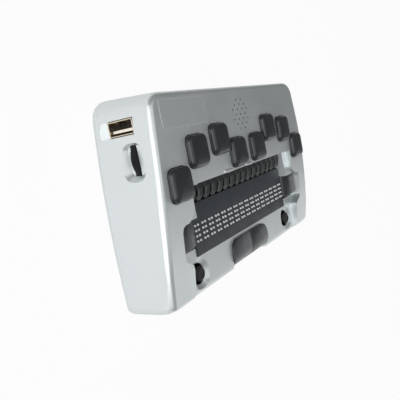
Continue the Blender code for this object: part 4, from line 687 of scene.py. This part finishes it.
# rubber feet: a moulded disc with a rounded foot and a shallow hollow underneath
foot = {"rim": 0.5, "rimShare": 0.3, "lip": 1.1, "hollow": 0.25, "hollowSlope": 0.3, "sides": 40}
for node in sorted(frame["nodes"]):
    if node.startswith("rubber_foot_"):
        low, high = boxOf(node)
        radius, rim = (high.x - low.x) / 2, foot["rim"]
        inRim = foot["rimShare"] * rim
        hollowRadius, hollowZ = radius - foot["lip"], low.z + foot["hollow"]
        profile = [(0, high.z), (radius, high.z), (radius, low.z + rim),
                   (radius - inRim, low.z + inRim), (radius - rim, low.z), (hollowRadius, low.z),
                   (hollowRadius - foot["hollowSlope"], hollowZ), (0, hollowZ)]
        bm = bmesh.new()
        turn(bm, profile, centreOf(low, high), foot["sides"])
        finishPiece(node + "_skin", bm, rubber, node, (node,), 40)
print("feet made")


# housing screws, up through the underside: a pan head with a cross recess; the tip's points
# are radius and distance from the end, the head's inset from its side and height in it
screw = {"x": 65.09, "y": 41.0, "headZ": 1.8, "headRadius": 2.15, "headHeight": 1.45,
         "head": ((0, 0.5), (0.2, 0.15), (0.6, 0)), "shankRadius": 1.15, "length": 13.5,
         "tip": ((0, 0), (0.5, 0.6), (1.15, 1.6)), "crossArm": 1.3, "crossWaist": 0.42,
         "crossHalfAngle": 18, "crossDepth": 0.8, "crossTaper": 0.75, "sides": 32}
screwCorners = {"front_left": (-1, -1), "front_right": (1, -1), "back_left": (-1, 1),
                "back_right": (1, 1)}
for name, (sideX, sideY) in screwCorners.items():
    centre = (sideX * screw["x"], sideY * screw["y"])
    shoulder = screw["headZ"] + screw["headHeight"]
    profile = [(radius, shoulder + screw["length"] - back) for radius, back in screw["tip"]] \
        + [(screw["shankRadius"], shoulder), (screw["headRadius"], shoulder)] \
        + [(screw["headRadius"] - inset, screw["headZ"] + rise) for inset, rise in screw["head"]]
    bm = bmesh.new()
    turn(bm, profile, centre, screw["sides"])
    rim = [edge for edge in bm.edges if edge.is_boundary]
    cross = raised(bm, bmesh.ops.contextual_create(bm, geom=rim)["faces"][0])
    for vert in cross.verts:
        spoke = Vector((vert.co.x - centre[0], vert.co.y - centre[1]))
        turned = degrees(atan2(spoke.y, spoke.x)) % 90
        inArm = min(turned, 90 - turned) < screw["crossHalfAngle"]
        spoke *= (screw["crossArm"] if inArm else screw["crossWaist"]) / spoke.length
        vert.co.x, vert.co.y = centre[0] + spoke.x, centre[1] + spoke.y
    floor = raised(bm, cross)
    bmesh.ops.scale(bm, verts=floor.verts, vec=(screw["crossTaper"], screw["crossTaper"], 1),
                    space=Matrix.Translation((-centre[0], -centre[1], 0)))
    bmesh.ops.translate(bm, verts=floor.verts, vec=(0, 0, screw["crossDepth"]))
    piece = finishPiece("screw_" + name, bm, zinc, "bottom_housing", smoothAngle=35)
print("screws made")


# blank foil label: a paler border round a brushed field, nothing printed on it
label = {"low": (-69.2, 29.3), "high": (-33.6, 42.0), "sunk": 0.02, "thick": 0.08,
         "corner": (1.1, 6), "border": 0.7}


def roundedFace(bm, low, high, z, radius, segments):
    # a level face between two corners, its corners rounded
    made = bmesh.ops.create_grid(bm, x_segments=1, y_segments=1, size=0.5)["verts"]
    bmesh.ops.scale(bm, verts=made, vec=(high[0] - low[0], high[1] - low[1], 1))
    bmesh.ops.translate(bm, verts=made,
                        vec=((low[0] + high[0]) / 2, (low[1] + high[1]) / 2, z))
    bmesh.ops.bevel(bm, geom=made, offset=radius, offset_type="OFFSET", affect="VERTICES",
                    segments=segments, profile=0.5, material=-1)
    return max(bm.faces, key=lambda f: f.calc_area())


bm = bmesh.new()
face = roundedFace(bm, label["low"], label["high"], boxOf("top_housing")[1].z - label["sunk"],
                   *label["corner"])
faceUp(bm, face)
out = bmesh.ops.extrude_face_region(bm, geom=[face], use_keep_orig=True)["geom"]
bmesh.ops.translate(bm, verts=[item for item in out if isinstance(item, bmesh.types.BMVert)],
                    vec=(0, 0, label["thick"]))
field = topOf(bm)
bmesh.ops.inset_region(bm, faces=[field], thickness=label["border"], depth=0.0)
for item in bm.faces:
    item.material_index = 1
field.material_index = 0
piece = finishPiece("blank_label", bm, foil, "top_housing", smoothAngle=5)
piece.data.materials.append(foilBorder)
print("label made")


# two small ridges moulded on the recess's back edge, for a reader's finger
ridge = {"spans": {"left": (-26.8, -18.1), "middle": (-3.9, 2.6)}, "y": 4.75, "depth": 1.5,
         "edgeDrop": 0.55, "sunk": 0.6, "proud": 0.6, "ends": (0.5, 4), "rim": (0.3, 3)}
edgeZ = boxOf("top_housing")[1].z - ridge["edgeDrop"]
ridgeTop = edgeZ + ridge["proud"]
for name, (startX, endX) in ridge["spans"].items():
    bm = bmesh.new()
    blockBetween(bm, (startX, ridge["y"] - ridge["depth"] / 2, edgeZ - ridge["sunk"]),
                 (endX, ridge["y"] + ridge["depth"] / 2, ridgeTop))
    roundEdges(bm, *ridge["ends"], lambda middle, way, fold: abs(way.z) > along)
    roundEdges(bm, *ridge["rim"], lambda middle, way, fold: fold > sharp
               and middle.z > ridgeTop - tiny)
    finishPiece("finger_ridge_" + name, bm, paint, "top_housing", smoothAngle=40)
print("finger ridges made")


# host socket: a thinner tongue, its contacts, the block behind it and two leaf springs
host = {"bladeThick": 1.15, "bladeInset": 0.15, "bladeEdge": (0.15, 2), "contacts": 4,
        "contactWidth": 1.1, "contactPitch": 2.3, "contactSetBack": 0.6, "contactLength": 7.5,
        "contactSunk": 0.1, "contactProud": 0.08, "contactEdge": 0.05, "blockDepth": 5.0,
        "blockInset": 0.55, "blockEdge": (0.4, 2), "springSide": 2.9, "springWidth": 1.9,
        "springSetBack": 0.8, "springLength": 6.0, "springBow": 0.7, "bowShare": 0.8,
        "springInset": 0.62, "springSteps": 10, "springSheet": 0.2}
shellLow, shellHigh = boxOf("usb_host_shell")
tongueLow, tongueHigh = boxOf("usb_host_tongue")
middleZ = (tongueLow.z + tongueHigh.z) / 2
bm = bmesh.new()
blockBetween(bm, (tongueLow.x, tongueHigh.y - host["bladeThick"],
                  tongueLow.z + host["bladeInset"]),
             (tongueHigh.x, tongueHigh.y, tongueHigh.z - host["bladeInset"]))
roundEdges(bm, *host["bladeEdge"], lambda middle, way, fold: True)
finishPiece("usb_host_tongue_skin", bm, nylon, "usb_host_tongue", ("usb_host_tongue",), 30)
bm = bmesh.new()
for index in range(host["contacts"]):
    x = tongueLow.x + host["contactSetBack"]
    z = middleZ + (index - (host["contacts"] - 1) / 2) * host["contactPitch"]
    blockBetween(bm, (x, tongueHigh.y - host["contactSunk"], z - host["contactWidth"] / 2),
                 (x + host["contactLength"], tongueHigh.y + host["contactProud"],
                  z + host["contactWidth"] / 2))
piece = finishPiece("usb_host_contacts", bm, gold, "usb_host_tongue", smoothAngle=30)
addRounding(piece, host["contactEdge"])
bm = bmesh.new()
blockBetween(bm, (tongueHigh.x - host["blockDepth"], shellLow.y + host["blockInset"],
                  shellLow.z + host["blockInset"]),
             (tongueHigh.x, shellHigh.y - host["blockInset"], shellHigh.z - host["blockInset"]))
roundEdges(bm, *host["blockEdge"], lambda middle, way, fold: True)
finishPiece("usb_host_block", bm, moulding, "usb_host_tongue", smoothAngle=30)
bm = bmesh.new()
for z in (middleZ - host["springSide"], middleZ + host["springSide"]):
    made = bmesh.ops.create_grid(bm, x_segments=host["springSteps"], y_segments=1,
                                 size=0.5)["verts"]
    for vert in made:
        share = vert.co.x + 0.5
        bow = host["springBow"] * sin(pi * min(1.0, share / host["bowShare"]))
        vert.co = Vector((shellLow.x + host["springSetBack"] + share * host["springLength"],
                          shellHigh.y - host["springInset"] - bow,
                          z + vert.co.y * host["springWidth"]))
bmesh.ops.solidify(bm, geom=bm.faces[:], thickness=host["springSheet"])
finishPiece("usb_host_springs", bm, steel, "usb_host_shell", smoothAngle=40)
print("host socket details made")


# headphone jack: a turned barrel lying along X, its bore open to the right
jack = {"edge": 0.3, "edgeShare": 0.3, "bore": 1.8, "boreEdge": 0.15, "boreDepth": 10.0,
        "sides": 40}
low, high = boxOf("headphone_jack")
centre = centreOf(low, high)
length, radius = high.x - low.x, (high.z - low.z) / 2
inEdge = jack["edgeShare"] * jack["edge"]
bm = bmesh.new()
turn(bm, [(0, 0), (radius, 0), (radius, length - jack["edge"]),
          (radius - inEdge, length - inEdge), (radius - jack["edge"], length),
          (jack["bore"] + jack["boreEdge"], length), (jack["bore"], length - jack["boreEdge"]),
          (jack["bore"], length - jack["boreDepth"]), (0, length - jack["boreDepth"])],
     (0, 0), jack["sides"])
bmesh.ops.rotate(bm, verts=bm.verts, cent=(0, 0, 0), matrix=Matrix.Rotation(pi / 2, 3, "Y"))
bmesh.ops.translate(bm, verts=bm.verts, vec=(low.x, centre[1], centre[2]))
finishPiece("headphone_jack_skin", bm, moulding, "headphone_jack", ("headphone_jack",), 40)
print("headphone jack made")


# the charging socket's tongue
tongue = {"halfWidth": 2.5, "thick": 0.9, "setBack": 1.2, "length": 5.5, "edge": (0.15, 2)}
low, high = boxOf("charging_socket")
centre = centreOf(low, high)
mouthX = high.x - tongue["setBack"]
bm = bmesh.new()
blockBetween(bm, (mouthX - tongue["length"], centre[1] - tongue["halfWidth"],
                  centre[2] - tongue["thick"] / 2),
             (mouthX, centre[1] + tongue["halfWidth"], centre[2] + tongue["thick"] / 2))
roundEdges(bm, *tongue["edge"], lambda middle, way, fold: True)
finishPiece("charging_tongue", bm, moulding, "charging_socket", smoothAngle=30)
print("charging tongue made")


# power slider: a small knob with grip ribs across it
slider = {"ribs": 3, "ribDepth": 0.25}
low, high = boxOf("power_slider")
bm = bmesh.new()
blockBetween(bm, low, (high.x - slider["ribDepth"], high.y, high.z))
strips = 2 * slider["ribs"] + 1
for index in range(1, strips):
    cutAcross(bm, (0, low.y + (high.y - low.y) * index / strips, 0), (0, 1, 0))
bm.normal_update()
fronts = sorted((f for f in bm.faces if f.normal.x > along),
                key=lambda f: f.calc_center_median().y)
ribs = bmesh.ops.extrude_discrete_faces(bm, faces=fronts[1::2])["faces"]
for face in ribs:
    bmesh.ops.translate(bm, verts=face.verts, vec=(slider["ribDepth"], 0, 0))
finishPiece("power_slider_skin", bm, keyPlastic, "power_slider", ("power_slider",), 30)
print("power slider made")


# boards: green laminate, and from these heights up black switches and joystick bases
boards = {"main_board": 12.0, "key_board": 24.3}
for node, partZ in boards.items():
    piece = softCopy(node, laminate)
    piece.data.materials.append(moulding)
    for face in piece.data.polygons:
        if face.center.z > partZ * mm:
            face.material_index = 1
print("boards made")


# everything else keeps its CAD shape, merged, with its edges rounded by so many millimetres
plain = {"braille_cells": (moulding, 0.15), "battery_pack": (wrap, 0.3),
         "speaker": (moulding, 0.0), "usb_host_shell": (steel, 0.1),
         "volume_control": (moulding, 0.0), "charging_socket": (steel, 0.1),
         "power_switch": (moulding, 0.1), "joystick_ring_left": (moulding, 0.0),
         "joystick_ring_right": (moulding, 0.0)}
for node, (look, widthMm) in plain.items():
    softCopy(node, look, widthMm)
print("plain pieces made")


# floor, lights and camera
ground = {"reach": 4.0, "hex": "#f4f4f4", "roughness": 0.9, "glowShare": 0.93}


def stageFloor():
    bm = bmesh.new()
    bmesh.ops.create_grid(bm, x_segments=1, y_segments=1, size=ground["reach"])
    mesh = bpy.data.meshes.new("floor")
    bm.to_mesh(mesh)
    bm.free()
    floor = bpy.data.objects.new("floor", mesh)
    bpy.context.scene.collection.objects.link(floor)
    made = bpy.data.materials.new("white_paper_floor")
    made.use_nodes = True
    tree = made.node_tree
    shader = tree.nodes["Principled BSDF"]
    shader.inputs["Base Color"].default_value = linear(ground["hex"])
    shader.inputs["Roughness"].default_value = ground["roughness"]
    # the camera, gloss and glass see mostly a white glow, and the rest still takes the shadow
    glow = addNode(tree, "ShaderNodeEmission", inputs={"Color": (1, 1, 1, 1), "Strength": 1.0})
    path = addNode(tree, "ShaderNodeLightPath")
    seen = addNode(tree, "ShaderNodeMath", {"operation": "MAXIMUM"},
                   {0: path.outputs["Is Camera Ray"], 1: path.outputs["Is Glossy Ray"]})
    seen = addNode(tree, "ShaderNodeMath", {"operation": "MAXIMUM"},
                   {0: seen.outputs[0], 1: path.outputs["Is Transmission Ray"]})
    share = addNode(tree, "ShaderNodeMath", {"operation": "MULTIPLY"},
                    {0: seen.outputs[0], 1: ground["glowShare"]})
    mix = addNode(tree, "ShaderNodeMixShader",
                  inputs={0: share.outputs[0], 1: shader.outputs[0], 2: glow.outputs[0]})
    tree.links.new(mix.outputs[0], tree.nodes["Material Output"].inputs["Surface"])
    mesh.materials.append(made)


lamps = {"key": {"place": (-0.95, 0.0, 0.42), "size": 1.3, "power": 10.0},
         "front": {"place": (0.9, -0.7, 0.35), "size": 1.2, "power": 3.2},
         "top": {"place": (0.0, 0.1, 1.0), "size": 1.0, "power": 2.2}}
lampAim = Vector((0, 0, 0.02))


def addLamp(name, place, size, power):
    light = bpy.data.lights.new(name, "AREA")
    light.shape = "DISK"
    light.size = size
    light.energy = power
    lamp = bpy.data.objects.new(name, light)
    lamp.location = place
    lamp.rotation_euler = (lampAim - Vector(place)).to_track_quat("-Z", "Y").to_euler()
    bpy.context.scene.collection.objects.link(lamp)


# the photograph's own viewpoint: low over the left side, the back edge up
view = {"place": (-0.234747, 0.025723, 0.154728), "lens": 45.149, "sensor": 36.0,
        "clipStart": 0.01, "right": (0.519778, -0.200052, 0.830548),
        "up": (0.219030, 0.970906, 0.096785)}


def addCamera():
    data = bpy.data.cameras.new("photo_camera")
    data.lens = view["lens"]
    data.sensor_width = view["sensor"]
    data.clip_start = view["clipStart"]
    camera = bpy.data.objects.new("photo_camera", data)
    right, up = Vector(view["right"]), Vector(view["up"])
    facing = Matrix((right, up, right.cross(up))).transposed().to_4x4()
    camera.matrix_world = Matrix.Translation(view["place"]) @ facing
    bpy.context.scene.collection.objects.link(camera)
    bpy.context.scene.camera = camera


room = {"colour": (1, 1, 1, 1), "strength": 0.15}
stageFloor()
for name, lamp in lamps.items():
    addLamp(name, **lamp)
addCamera()
world = bpy.data.worlds.new("soft_room")
world.use_nodes = True
world.node_tree.nodes["Background"].inputs["Color"].default_value = room["colour"]
world.node_tree.nodes["Background"].inputs["Strength"].default_value = room["strength"]
bpy.context.scene.world = world
bpy.context.scene.view_settings.view_transform = "Standard"
print("stage set")
